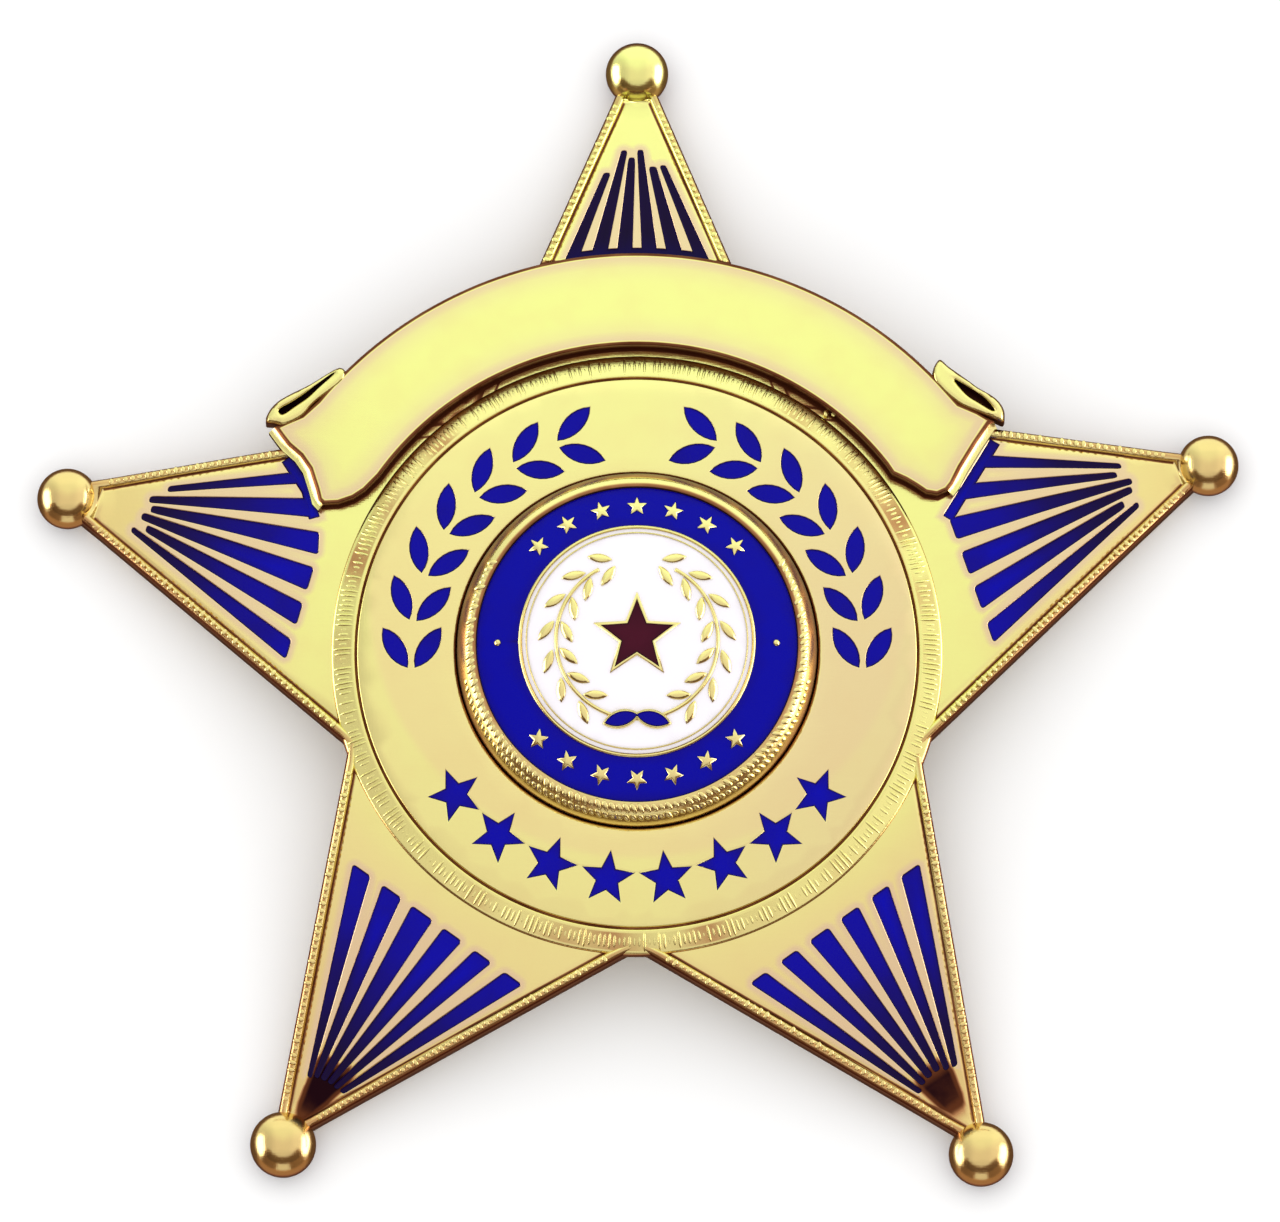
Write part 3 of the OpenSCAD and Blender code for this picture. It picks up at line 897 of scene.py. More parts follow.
class RowTree:
    """Geometry Nodes that set small rounded forms along a path."""

    LENGTHS = ("Pitch", "Along", "Across", "Proud")
    FLOATS = (*LENGTHS, "Turn", "Unevenness")

    def __init__(self) -> None:
        """Builds the tree once."""
        group = bpy.data.node_groups.new("row_of_forms", "GeometryNodeTree")
        for name, kind in (
            ("Path", "Geometry"), *((name, "Float") for name in self.FLOATS), ("Seed", "Int"),
            ("Finish", "Material"),
        ):
            group.interface.new_socket(name, in_out="INPUT", socket_type="NodeSocket" + kind)
        group.interface.new_socket("Row", in_out="OUTPUT", socket_type="NodeSocketGeometry")
        t = Tree(group)
        given = group.nodes.new("NodeGroupInput")
        value = {s.name: Sock(t, s) for s in given.outputs if s.name}
        curve = t.node("GeometryNodeMeshToCurve", {}, {"Mesh": value["Path"]})
        points = t.node(
            "GeometryNodeResampleCurve", {"mode": "LENGTH"},
            {"Curve": curve, "Length": value["Pitch"]},
        )
        along = t.node("FunctionNodeAlignRotationToVector", {"axis": "X"}, {
            "Vector": t.node("GeometryNodeInputTangent"),
        })
        up = t.node(
            "GeometryNodeInputNamedAttribute", {"data_type": "FLOAT_VECTOR"}, {"Name": "up"}
        )
        seated = t.node(
            "FunctionNodeAlignRotationToVector", {"axis": "Z", "pivot_axis": "X"},
            {"Rotation": along, "Vector": up},
        )
        turn = t.node("ShaderNodeCombineXYZ", {}, {"Z": value["Turn"]})
        twisted = t.node("FunctionNodeRotateRotation", {"rotation_space": "LOCAL"}, {
            "Rotation": seated, "Rotate By": t.node("FunctionNodeEulerToRotation", {}, {0: turn}),
        })
        chance = t.node("FunctionNodeRandomValue", {"data_type": "FLOAT"}, {
            "Min": 1 - value["Unevenness"], "Max": 1 + value["Unevenness"], "Seed": value["Seed"],
        }, 1)
        size = t.node("ShaderNodeCombineXYZ", {}, {
            "X": value["Along"], "Y": value["Across"] * chance, "Z": value["Proud"] * chance,
        })
        form = t.node("GeometryNodeMeshUVSphere", {}, {"Segments": 8, "Rings": 6, "Radius": 1.0})
        row = t.node("GeometryNodeInstanceOnPoints", {}, {
            "Points": points, "Instance": form, "Rotation": twisted, "Scale": size,
        })
        smooth = t.node("GeometryNodeSetShadeSmooth", {}, {
            "Geometry": t.node("GeometryNodeRealizeInstances", {}, {"Geometry": row}),
        })
        done = t.node("GeometryNodeSetMaterial", {}, {
            "Geometry": smooth, "Material": value["Finish"],
        })
        t.node("NodeGroupOutput", {}, {0: done})
        self.group = group

    def along(
        self,
        name: str,
        paths: Sequence[np.ndarray],
        ups: Sequence[np.ndarray],
        closed: bool,
        finish: bpy.types.Material,
        sizes: dict[str, float],
        seed: int = 3,
    ) -> bpy.types.Object:
        """Sets forms along paths.

        Args:
            name: Name of the piece.
            paths: Points of each path, in millimetres.
            ups: The direction out of the surface at each of those points.
            closed: Whether each path is a ring.
            finish: Material of the forms.
            sizes: The tree's sizes in millimetres, with Turn in radians.
            seed: Seed of the unevenness.

        Returns:
            The finished piece, a plain mesh.
        """
        shape = Shape()
        edges = []
        for path in paths:
            start, count = shape.add(path), len(path)
            edges += [
                (start + k, start + (k + 1) % count) for k in range(count if closed else count - 1)
            ]
        mesh = bpy.data.meshes.new(name)
        mesh.from_pydata(shape.placed().tolist(), edges, [])
        mesh.attributes.new("up", "FLOAT_VECTOR", "POINT").data.foreach_set(
            "vector", np.concatenate(ups).ravel()
        )
        guide = linked(name + "_path", mesh)
        modifier = guide.modifiers.new("row", "NODES")
        modifier.node_group = self.group
        by_name = {
            s.name: s.identifier for s in self.group.interface.items_tree if s.in_out == "INPUT"
        }
        for key in self.FLOATS:
            scale = MM if key in self.LENGTHS else 1.0
            modifier[by_name[key]] = float(sizes.get(key, 0.0) * scale)
        modifier[by_name["Seed"]] = seed
        modifier[by_name["Finish"]] = finish
        ready = guide.evaluated_get(bpy.context.evaluated_depsgraph_get())
        row = bpy.data.meshes.new_from_object(ready)
        bpy.data.objects.remove(guide)
        row.name = name
        return linked(name, row)


def fit(piece: bpy.types.Object, slot: Slot, *nodes: str) -> None:
    """Makes a piece ride with the badge in place of its solids, and reports it."""
    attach(piece, "root")
    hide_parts(*nodes)
    LOG.info("%s: %d faces for %s", piece.name, len(piece.data.polygons), ", ".join(nodes))


# ---------------------------------------------------------------- the star


class Point(Enum):
    """The five points, counter-clockwise from the right-hand one."""

    RIGHT = 0
    TOP = 1
    LEFT = 2
    LOWER_LEFT = 3
    LOWER_RIGHT = 4


@dataclass(frozen=True)
class Arm:
    """One point of the star, with angles in degrees and distances from the middle.

    Attributes:
        ball_a: Angle of the centre of its ball.
        ball_r: Distance of that centre.
        apex_a: Angle of the place where its edges would meet.
        apex_r: Distance of that place.
        focus_a: Angle of the place where its rays would meet.
        focus_r: Distance of that place.
        fan_a: Angle of the middle of its rays' wide end.
        fan_r: Distance of that middle.
        ball: Radius of the ball.
        widths: Width of each ray, as a share of the usual one.
        starts: How much further from the focus than usual each ray starts.
    """

    ball_a: float
    ball_r: float
    apex_a: float
    apex_r: float
    focus_a: float
    focus_r: float
    fan_a: float
    fan_r: float
    ball: float
    widths: tuple[float, ...]
    starts: tuple[float, ...]


ARMS = {
    Point.RIGHT: Arm(19.9, 36.3, 20.05, 37.56, 20.5, 34.8, 19.3, 20.5, 1.82,
                     (0.9, 1.04, 1.06, 1, 0.78, 0.74), (0.8, 1.5, 0.6, 0.4, 1.2, 0.9)),
    Point.TOP: Arm(90.0, 36.4, 90.0, 38.2, 90.1, 34.65, 89.9, 20.2, 1.88,
                   (0.8, 1, 1, 1, 1, 0.8), (1.7, 1.6, 0.4, 0.9, 0.5, 2.2)),
    Point.LEFT: Arm(163.1, 35.55, 162.87, 37.37, 162.4, 34.5, 163.2, 20.15, 1.82,
                    (0.66, 0.94, 1, 1.06, 1, 0.88), (2.1, 1, 1.2, 0.8, 1.4, 0.7)),
    Point.LOWER_LEFT: Arm(234.0, 36.0, 233.4, 36.75, 233.9, 34.4, 233.9, 20.3, 1.98,
                          (0.95, 1.02, 1.14, 1, 0.92, 0.95), (0, 0.1, 0.15, 0.2, 0.25, 0.4)),
    Point.LOWER_RIGHT: Arm(304.7, 36.1, 305.43, 36.45, 305.2, 34.4, 305.8, 20.2, 1.94,
                           (0.82, 0.88, 1.02, 0.96, 0.92, 1), (0.8, 0.95, 1, 1.05, 0.9, 0.95)),
}
NOTCHES = [
    polar(r, a) for r, a in ((17.9, 58.6), (17.5, 124.7), (18.1, 197.7), (17.9, 270), (17.9, 341.3))
]


def apex(index: int) -> np.ndarray:
    """The tip where the edges of a point would meet."""
    arm = ARMS[Point(index % 5)]
    return polar(arm.apex_r, arm.apex_a)


def star_outline(d: float, back: float) -> Loop:
    """The star's outline moved inwards by d, each point cut off short of its ball's centre."""
    corners = []
    for i in range(5):
        arm = ARMS[Point(i)]
        axis = polar(1, arm.ball_a)
        cut = ((arm.ball_r - back) * axis, (arm.ball_r - back) * axis + left_of(axis))
        before = shifted(NOTCHES[i - 1], apex(i), d)
        after = shifted(apex(i), NOTCHES[i], d)
        following = shifted(NOTCHES[i], apex(i + 1), d)
        corners += [meet(before, cut), meet(after, cut), meet(after, following)]
    return np.array(corners)


def line(*corners: Sequence[float]) -> list[np.ndarray]:
    """An open line through corners."""
    return [np.array(c, float) for c in corners]


@dataclass
class Rays:
    """The fan of enamel rays on each point, with the bands beside the banner.

    Attributes:
        count: Rays on a point.
        pitch: Their spacing at the wide end.
        width: Their width there.
        start: Usual distance of their start from the place where they would meet.
        band_w: Width of the bands on the side points.
        top_band: Inner and outer radius and half angle of the band on the top point.
    """

    count: int = 6
    pitch: float = 2.24
    width: float = 1.26
    start: float = 2.7
    band_w: float = 0.55
    top_band: tuple[float, float, float] = (24.82, 25.2, 9.4)

    def bands(self, point: Point) -> list[np.ndarray]:
        """Middle line of the band at the wide end of a side point's rays."""
        if point is Point.LEFT:
            return line((-21, 12.2), (-19.8, 10.25), (-19.35, 8.55))
        if point is Point.RIGHT:
            return line((21.45, 13.3), (18.65, 8.5))
        return []

    def stopped(self, point: Point, focus: np.ndarray, corner: np.ndarray) -> np.ndarray:
        """A ray's corner, drawn back to the band or to the banner."""
        way = corner - focus
        length, shares = np.linalg.norm(way), [1.0]
        stops = self.bands(point)
        for stop in zip(stops[:-1], stops[1:]):
            shares.append(np.linalg.norm(meet((focus, corner), stop) - focus) / length)
        if point is Point.TOP:
            a, b = way @ way, focus @ way
            c = focus @ focus - (self.top_band[0] + GAP) ** 2
            shares.append((-b - math.sqrt(b * b - a * c)) / a)
        return focus + min(shares) * way

    def outlines(self, point: Point, grow: float) -> list[Loop]:
        """Outlines of all the enamel of one point, grown by a distance."""
        arm = ARMS[point]
        focus, axis = polar(arm.focus_r, arm.focus_a), polar(1, arm.fan_a)
        loops = []
        for n in range(self.count):
            k = n - (self.count - 1) / 2
            half = self.width / 2 * arm.widths[n]
            middle = arm.fan_r * axis + k * self.pitch * left_of(axis)
            a, b = middle + half * left_of(axis), middle - half * left_of(axis)
            share = (self.start + arm.starts[n]) / np.linalg.norm(middle - focus)
            ray = np.array([
                self.stopped(point, focus, a), self.stopped(point, focus, b),
                focus + share * (b - focus), focus + share * (a - focus),
            ])
            loops.append(inset(eased(ray, 0.16), -grow))
        if self.bands(point):
            loops.append(inset(strip(self.bands(point), self.band_w), -grow))
        if point is Point.TOP:
            inner, outer, half = self.top_band
            loops.append(inset(np.array(
                arc(outer, 90 - half, 90 + half, 12) + arc(inner + GAP, 90 + half, 90 - half, 12)
            ), -grow))
        return loops

    def build(self, finishes: Finishes) -> None:
        """Makes the enamel of the five points, a shallow meniscus against the metal."""
        for point in Point:
            name = point.name.lower()
            shape = enamel(lambda grow: self.outlines(point, grow), front, BELOW)
            fit(shape.to_object("rays_" + name, finishes.blue), Slot.BLUE, "ray_enamel_" + name)


def enamel(
    outlines: Callable[[float], list[Loop]],
    ground: Height,
    level: float,
    holes: list[Loop] | None = None,
    wet: float = 0.12,
    pitch: float = 1.3,
) -> Shape:
    """Enamel that fills outlines and creeps up the metal round them.

    Args:
        outlines: Gives the outlines, grown by a distance.
        ground: Height of the metal's face.
        level: Height of the enamel over it, at the metal.
        holes: Outlines left free.
        wet: Width of the edge that creeps up.
        pitch: Spacing of the points that carry the curved face.

    Returns:
        The shape.
    """
    solid, around = outlines(GAP - 0.008), holes or []

    def face(p: np.ndarray) -> np.ndarray:
        """Height of the enamel."""
        rise = CREEP * np.clip(1 - from_wall(p, solid, around) / wet, 0, 1.2) ** 2
        return ground(p) + level - CREEP + rise

    return Relief(
        solid=solid,
        holes=around,
        face=face,
        back=lambda p: ground(p) + level + GAP + 0.02 - POCKET_D,
        lines=[inset(l, wet * k) for l in solid for k in (0.5, 1)]
        + [inset(h, -wet * k) for h in around for k in (0.5, 1)],
        # painted shade on the enamel along the metal
        tarnish_and_shade=lambda p: 0.8 * np.clip(1 - from_wall(p, solid, around) / (1.4 * wet), 0, 1),
        wall_shade=(0.9, 1.0),
        pitch=pitch,
    ).build(Shape())


@dataclass
class StarPlate:
    """The domed plate with its raised edge, the pockets for the rays and the ball tips.

    Attributes:
        rays: The rays, whose pockets it holds.
        edge: Distances from the edge at which the border strip bends.
        rise: Its heights there over the front.
        stain_and_shade: Its tarnish attribute there, painted shade in the grooves.
        seat: Radius and height of the seat for the seal.
        ball_r: Radius of the balls in the solids; a smaller one is moved out to reach as far.
        ball_z: Height of the balls' centres.
        neck_l: Length of the bar under each ball.
        neck_r: Its radius.
        neck_drop: How far its middle lies under the front.
        fillet: Radius at which the fillet round each ball starts, its width and its height.
        rings_r: Radius of the rings' foot on the plate.
        clear: Distance that the milling keeps from the balls' centres.
        bead_in: Distance of the milling from the edge.
        bead_up: Its height over the front.
        beads: Sizes of the milling.
    """

    rays: Rays
    edge: tuple[float, ...] = (0.0, 0.05, 0.12, 0.3, 0.48, 0.55, 0.62, 0.7, 0.8)
    rise: tuple[float, ...] = (-0.10, 0.07, 0.19, 0.25, 0.20, 0.10, -0.04, -0.06, 0.0)
    stain_and_shade: tuple[float, ...] = (0.95, 0.8, 0.4, 0.45, 0.2, 0.1, 0.8, 0.7, 0.0)
    seat: tuple[float, float] = (10.95, 6.1)
    ball_r: float = 2.0
    ball_z: float = 1.5
    neck_l: float = 2.6
    neck_r: float = 0.62
    neck_drop: float = 0.7
    fillet: tuple[float, float, float] = (1.75, 1.1, 0.2)
    rings_r: float = 18.4
    clear: float = 2.15
    bead_in: float = 0.3
    bead_up: float = 0.22
    beads: dict[str, float] = field(default_factory=lambda: {
        "Pitch": 0.44, "Along": 0.165, "Across": 0.2, "Proud": 0.08, "Unevenness": 0.3,
    })

    DARK_AT = (29.6, 31.2, 32.6, 33.4, 34.4)
    DARK_LEVELS = {
        Point.LOWER_LEFT: (2.0, 0, 1, 1, 0.8, 0.3), Point.LOWER_RIGHT: (1.7, 0, 1, 0.8, 0.3, 0),
    }

    def sides(self) -> list[tuple[np.ndarray, np.ndarray]]:
        """The ten straight edges."""
        return [
            (a, b)
            for i in range(5)
            for a, b in ((NOTCHES[i - 1], apex(i)), (apex(i), NOTCHES[i]))
        ]

    def from_edge(self, p: np.ndarray) -> np.ndarray:
        """Distance from the nearest edge."""
        return np.min([off_line(p, side) for side in self.sides()], axis=0)

    @staticmethod
    def _dark_half(along: np.ndarray | float) -> np.ndarray | float:
        """Half the width of the painted dark reflection at a distance from the middle."""
        return np.interp(along, (29.5, 31.5, 34.5), (1.5, 1.15, 0.5))

    def painted_dark(self, p: np.ndarray) -> np.ndarray:
        """The painted dark reflection where the rays of the lower points run together."""
        dark = np.zeros(len(p))
        for point, (level, *shares) in self.DARK_LEVELS.items():
            axis = polar(1, ARMS[point].focus_a)
            along, off = p @ axis, np.abs(p @ left_of(axis))
            zone = np.interp(along, self.DARK_AT, shares)
            across = np.interp(off - self._dark_half(along), (-0.4, 0.15), (1, 0))
            dark = np.maximum(dark, level * zone * across)
        return dark

    def _dark_lines(self) -> list[Loop]:
        """Outlines that carry the bounds of that painted dark reflection."""
        loops = []
        for point in self.DARK_LEVELS:
            axis = polar(1, ARMS[point].focus_a)
            for grow in (0.15, -0.1, -0.4):
                for start, end in zip(self.DARK_AT[:-1], self.DARK_AT[1:]):
                    near, far = (float(self._dark_half(a)) + grow for a in (start, end))
                    corners = ((start, near), (start, -near), (end, -far), (end, far))
                    loops.append(np.array([a * axis + off * left_of(axis) for a, off in corners]))
        return loops

    def plate(self, finishes: Finishes) -> None:
        """Builds the plate."""
        pockets = [l for point in Point for l in self.rays.outlines(point, GAP)]
        banner, fill = Banner().outline(), Banner().fill()
        centres = [polar(arm.ball_r, arm.ball_a) for arm in ARMS.values()]
        start, width, height = self.fillet
        seat_r, seat_z = self.seat

        def face(p: np.ndarray) -> np.ndarray:
            """Height of the front, with its border, rims, fillets and seat."""
            border = np.interp(self.from_edge(p), self.edge, self.rise)
            rise = np.where(depth_in(p, [fill]) < 0.001, 0, border)
            z = front(p) + rise + rim_drop(depth_in(p, pockets))
            for centre in centres:
                gap = np.linalg.norm(p - centre, axis=1) - start
                z = z + height * np.clip(1 - gap / width, 0, 1) ** 2
            return np.where((p ** 2).sum(1) < seat_r ** 2, np.minimum(z, seat_z), z)

        def tarnish_and_shade(p: np.ndarray) -> np.ndarray:
            """Painted shade in the border's grooves, a painted shadow under the banner, a painted
            dark reflection at the lower tips and pink shading painted beside the pockets.
            """
            # painted shade in the border's grooves
            groove = np.interp(self.from_edge(p), self.edge, self.stain_and_shade)
            # painted shadow under the banner's edge
            under = np.interp(depth_in(p, [banner]), (0.16, 0.3), (0.95, 0.0))
            dark = np.maximum.reduce([groove, under, self.painted_dark(p)])
            # pink shading painted on the metal beside the pockets
            pink_shading = np.interp(depth_in(p, pockets), (0, 0.3, 0.55), (-0.9, -0.8, 0))
            return np.where(dark > 0.01, dark, pink_shading)

        shape = Relief(
            solid=[star_outline(0, 0), fill],
            face=face,
            back=over_front(-PLATE_T),
            pockets=pockets,
            floor=over_front(-POCKET_D),
            lines=[inset(l, -d) for l in pockets for d in (RIM, RIM + 0.1, 0.5)]
            + [star_outline(d, min(3 * d, 1.8)) for d in self.edge[1:]]
            + [circle(r, count=120) for r in (seat_r, self.rings_r)]
            + [inset(banner, -d) for d in (0.01, 0.16, 0.3)]
            + [circle(start + k * width, count=48) + c for c in centres for k in (0.3, 0.6, 1)]
            + self._dark_lines(),
            tarnish_and_shade=tarnish_and_shade,
        ).build(Shape())
        fit(shape.to_object("star_plate", finishes.gold), Slot.GOLD, "star_body")

    def milling(self, row: RowTree, finishes: Finishes) -> None:
        """Builds the bead-like milling along the edges."""
        banner = Banner()
        covers = [
            circle(self.rings_r + 0.05, count=120), banner.outline(), *banner.bevels(),
            *banner.curls(),
        ]
        paths, ups = [], []
        for a, b in self.sides():
            way = unit(b - a)
            steps = np.arange(0.5, np.linalg.norm(b - a), 0.25)
            p = a + self.bead_in * left_of(way) + steps[:, None] * way
            free = depth_in(p, covers) > 0.2
            for arm in ARMS.values():
                centre = polar(arm.ball_r, arm.ball_a)
                free &= np.linalg.norm(p - centre, axis=1) > self.clear
            p = p[free]
            paths.append(np.column_stack([p, front(p) + self.bead_up]))
            ups.append(np.column_stack([p, np.full(len(p), DOME_R)]) / DOME_R)
        beads = row.along("edge_milling", paths, ups, False, finishes.milled, self.beads)
        fit(beads, Slot.GOLD, "star_body")

    @staticmethod
    def _ball_shading(high: bool) -> Callable[[float, float], float]:
        """Painted shade of a ball: dark at its foot, and on the top one a painted dark reflection
        over its far side too.
        """

        def tarnish_and_shade(v: float, turn: float) -> float:
            """Painted shade at a share of the way up, and a share of the way round."""
            # painted dark reflection over the top ball's far side
            far = max(0.0, math.sin(2 * math.pi * turn)) if high else 0.0
            return float(max(np.interp(v, (0, 0.34, 0.5), (1.0, 0.8, 0.0)),
                             far * np.interp(v, (0.5, 0.66), (0.95, 0.0))))

        return tarnish_and_shade

    def tips(self, finishes: Finishes) -> None:
        """Builds the five ball tips with their necks."""
        shape = Shape()
        for arm in ARMS.values():
            r = arm.ball
            centre = polar(arm.ball_r + self.ball_r - r, arm.ball_a)
            bends = np.linspace(math.asin(-self.ball_z / r), math.pi / 2, 40)[:-1]
            shape.lathe(
                [(r * math.cos(a), self.ball_z + r * math.sin(a)) for a in bends]
                + [(0.04, self.ball_z + r)],
                segments=72, centre=centre, tarnish_and_shade=self._ball_shading(arm is ARMS[Point.TOP]),
            )
            steps = self.neck_l * (1 - np.linspace(0, 1, 12))
            way = np.array([polar(arm.ball_r - step, arm.ball_a) for step in steps])
            path = np.column_stack([way, front(way) - self.neck_drop])
            shape.tube(path, np.full(12, self.neck_r), segments=40)
        fit(shape.to_object("ball_tips", finishes.gold), Slot.GOLD, "star_body")

    def build(self, row: RowTree, finishes: Finishes) -> None:
        """Builds the whole star."""
        self.plate(finishes)
        self.milling(row, finishes)
        self.tips(finishes)


@dataclass
class Banner:
    """The blank ribbon banner with its curled ends.

    Attributes:
        inner_r: Radius of its inner edge.
        outer_r: Radius of its outer edge.
        height: Height of its face over the front.
        bevel: Width of the sloping strips along its ends.
        droop: How far its ends droop, and over which length.
        steps: Distances from its outline at which its face bends, negative inside.
        fall: Its heights there over the face.
        fade: Distances from its outline at which its tarnish attribute changes.
        stain_and_shade: Its values there: a brown painted shade along the edge, a pink painted
            shading within.
    """

    inner_r: float = 18.85
    outer_r: float = 24.7
    height: float = 1.0
    bevel: float = 0.45
    droop: tuple[float, float] = (0.16, 4.5)
    steps: tuple[float, ...] = (-0.2, -0.1, -0.04, 0, 0.04, 0.1, 0.4)
    fall: tuple[float, ...] = (0, -0.01, -0.04, -0.08, -0.13, -0.18, -0.44)
    fade: tuple[float, ...] = (-2.4, -0.9, -0.28, -0.24, -0.16, 0.03, 0.08)
    stain_and_shade: tuple[float, ...] = (0, -0.4, -0.9, 0, 0.75, 0.8, 0)

    def left_end(self) -> list[np.ndarray]:
        """The left end, from the inner edge round to the outer one."""
        return line((-15.4, 10.8), (-16.3, 9.95), (-17.0, 9.5), (-17.9, 9.22), (-18.8, 9.2),
                    (-19.05, 9.45), (-19.2, 10.1), (-19.6, 11.4), (-20.15, 12.25), (-20.9, 12.95),
                    (-21.3, 13.5), (-21.7, 14.1))

    def right_end(self) -> list[np.ndarray]:
        """The right end, from the outer edge round to the inner one."""
        return line((21.4, 14.45), (21.1, 14.3), (20.3, 13.05), (19.4, 11.5), (18.9, 10.45),
                    (18.6, 10.05), (18.0, 9.75), (17.3, 9.85), (16.7, 10.25), (16.1, 10.6),
                    (15.3, 10.95), (14.5, 11.2))

    def outline(self) -> Loop:
        """The outline of the banner's face, counter-clockwise."""
        left, right = self.left_end(), self.right_end()
        return np.array(
            line((20.42, 15.0), (19.3, 15.45))
            + arc(self.outer_r, 43, 140.8, 60)
            + line((-20.1, 14.75), (-21.0, 14.4))
            + left[::-1][:-1]
            + arc(self.inner_r, angle_of(left[0]), angle_of(right[-1]), 60)
            + right[::-1][1:]
        )

    def fill(self) -> Loop:
        """The plate that carries the banner between the points."""
        right, left = line((16, 10.5), (20, 28)), line((-16, 10.5), (-20, 28))
        ends = [crossing(*way, self.outer_r) for way in (right, left)]
        return np.array(
            [right[0]] + arc(self.outer_r - 0.03, angle_of(ends[0]), angle_of(ends[1]), 40)
            + [left[0], np.array([0.0, 10.0])]
        )

    def bevels(self) -> list[Loop]:
        """The sloping strips along the ends, outside the face, counter-clockwise."""
        return [strip(end, 2 * self.bevel) for end in (self.left_end()[4:], self.right_end()[:6])]

    def curls(self) -> list[Loop]:
        """The outlines of the two curls, counter-clockwise."""
        return [
            rounded([(-17.55, 16.9), (-17.85, 17.7), (-19.6, 16.7), (-20.85, 16.1), (-21.65, 15.6),
                     (-22.15, 14.95), (-22.25, 14.4), (-21.8, 14.3), (-21.15, 14.15),
                     (-20.05, 14.65), (-19.3, 15.5)]),
            rounded([(17.75, 16.95), (19.16, 15.5), (20.42, 14.95), (21.37, 14.6), (21.95, 14.4),
                     (22.05, 14.95), (21.85, 15.5), (21.37, 16.0), (20.42, 16.55), (19.95, 16.9),
                     (18.75, 17.75), (18.1, 18.2)]),
        ]

    def slots(self) -> list[Loop]:
        """The dark slots in the curls, each with a round eye at its lower end."""
        return [
            rounded([(-21.25, 14.85), (-20.55, 15.3), (-19.75, 15.85), (-19.15, 16.4),
                     (-18.2, 17.25), (-18.3, 17.35), (-19.3, 16.62), (-19.95, 16.12),
                     (-20.7, 15.62), (-21.3, 15.3), (-21.5, 15.08)]),
            rounded([(19.0, 17.0), (19.75, 16.05), (20.6, 15.5), (21.3, 15.08), (21.42, 15.2),
                     (20.9, 15.85), (20.1, 16.4)]),
        ]

    def build(self, finishes: Finishes) -> None:
        """Builds the banner and its curls."""
        self.ribbon(finishes)
        self.curled(finishes)

    def ribbon(self, finishes: Finishes) -> None:
        """Builds the ribbon."""
        outline = self.outline()
        ends = [self.left_end()[3:], self.right_end()[:7]]
        depth, length = self.droop

        def face(p: np.ndarray) -> np.ndarray:
            """Height of the ribbon, rounded at its edges and drooping at its ends."""
            slope = np.interp(depth_in(p, [outline]), self.steps, self.fall)
            end = np.min([off_line(p, e) for e in ends], axis=0)
            droop = -depth * np.clip(1 - end / length, 0, 1) ** 2
            return front(p) + self.height + slope + droop

        bends = (-1.5, -0.9, -0.5, -0.28, -0.16, *self.steps)
        shape = Relief(
            solid=[outline, *self.bevels()],
            face=face,
            back=over_front(-0.3),
            lines=[inset(outline, -d) for d in bends if d],
            # painted shade along the banner's edge and pink shading painted just inside it
            tarnish_and_shade=lambda p: np.interp(depth_in(p, [outline]), self.fade, self.stain_and_shade),
            wall_shade=(0.65, 1.0),
            pitch=1.0,
        ).build(Shape())
        fit(shape.to_object("banner", finishes.gold), Slot.GOLD, "star_body")

    def curled(self, finishes: Finishes) -> None:
        """Builds the curls."""
        shape = Shape()
        for curl, slot in zip(self.curls(), self.slots()):

            def face(p: np.ndarray) -> np.ndarray:
                """Height of a curl, rounded at its edge and at its slot."""
                swell = np.interp(
                    -depth_in(p, [curl]), (-0.1, 0, 0.08, 0.2, 0.4), (-0.5, -0.2, -0.02, 0.1, 0.12)
                )
                rim = rim_drop(depth_in(p, [slot]), rim=0.25, steep=1.2)
                return front(p) + self.height + swell + rim

            Relief(
                solid=[curl],
                face=face,
                back=over_front(-0.4),
                pockets=[slot],
                floor=over_front(0.3),
                lines=[inset(curl, d) for d in (0.08, 0.2, 0.4)]
                + [inset(slot, -d) for d in (0.1, 0.25)],
                # painted shade round the curl's edge, down its walls and on the slot's floor
                tarnish_and_shade=lambda p: np.interp(-depth_in(p, [curl]), (0, 0.1), (0.9, 0)),
                wall_shade=(0.9, 1.3),
                depth=1.6,
                pitch=0.6,
            ).build(shape)
        fit(shape.to_object("banner_curls", finishes.gold), Slot.GOLD, "star_body")


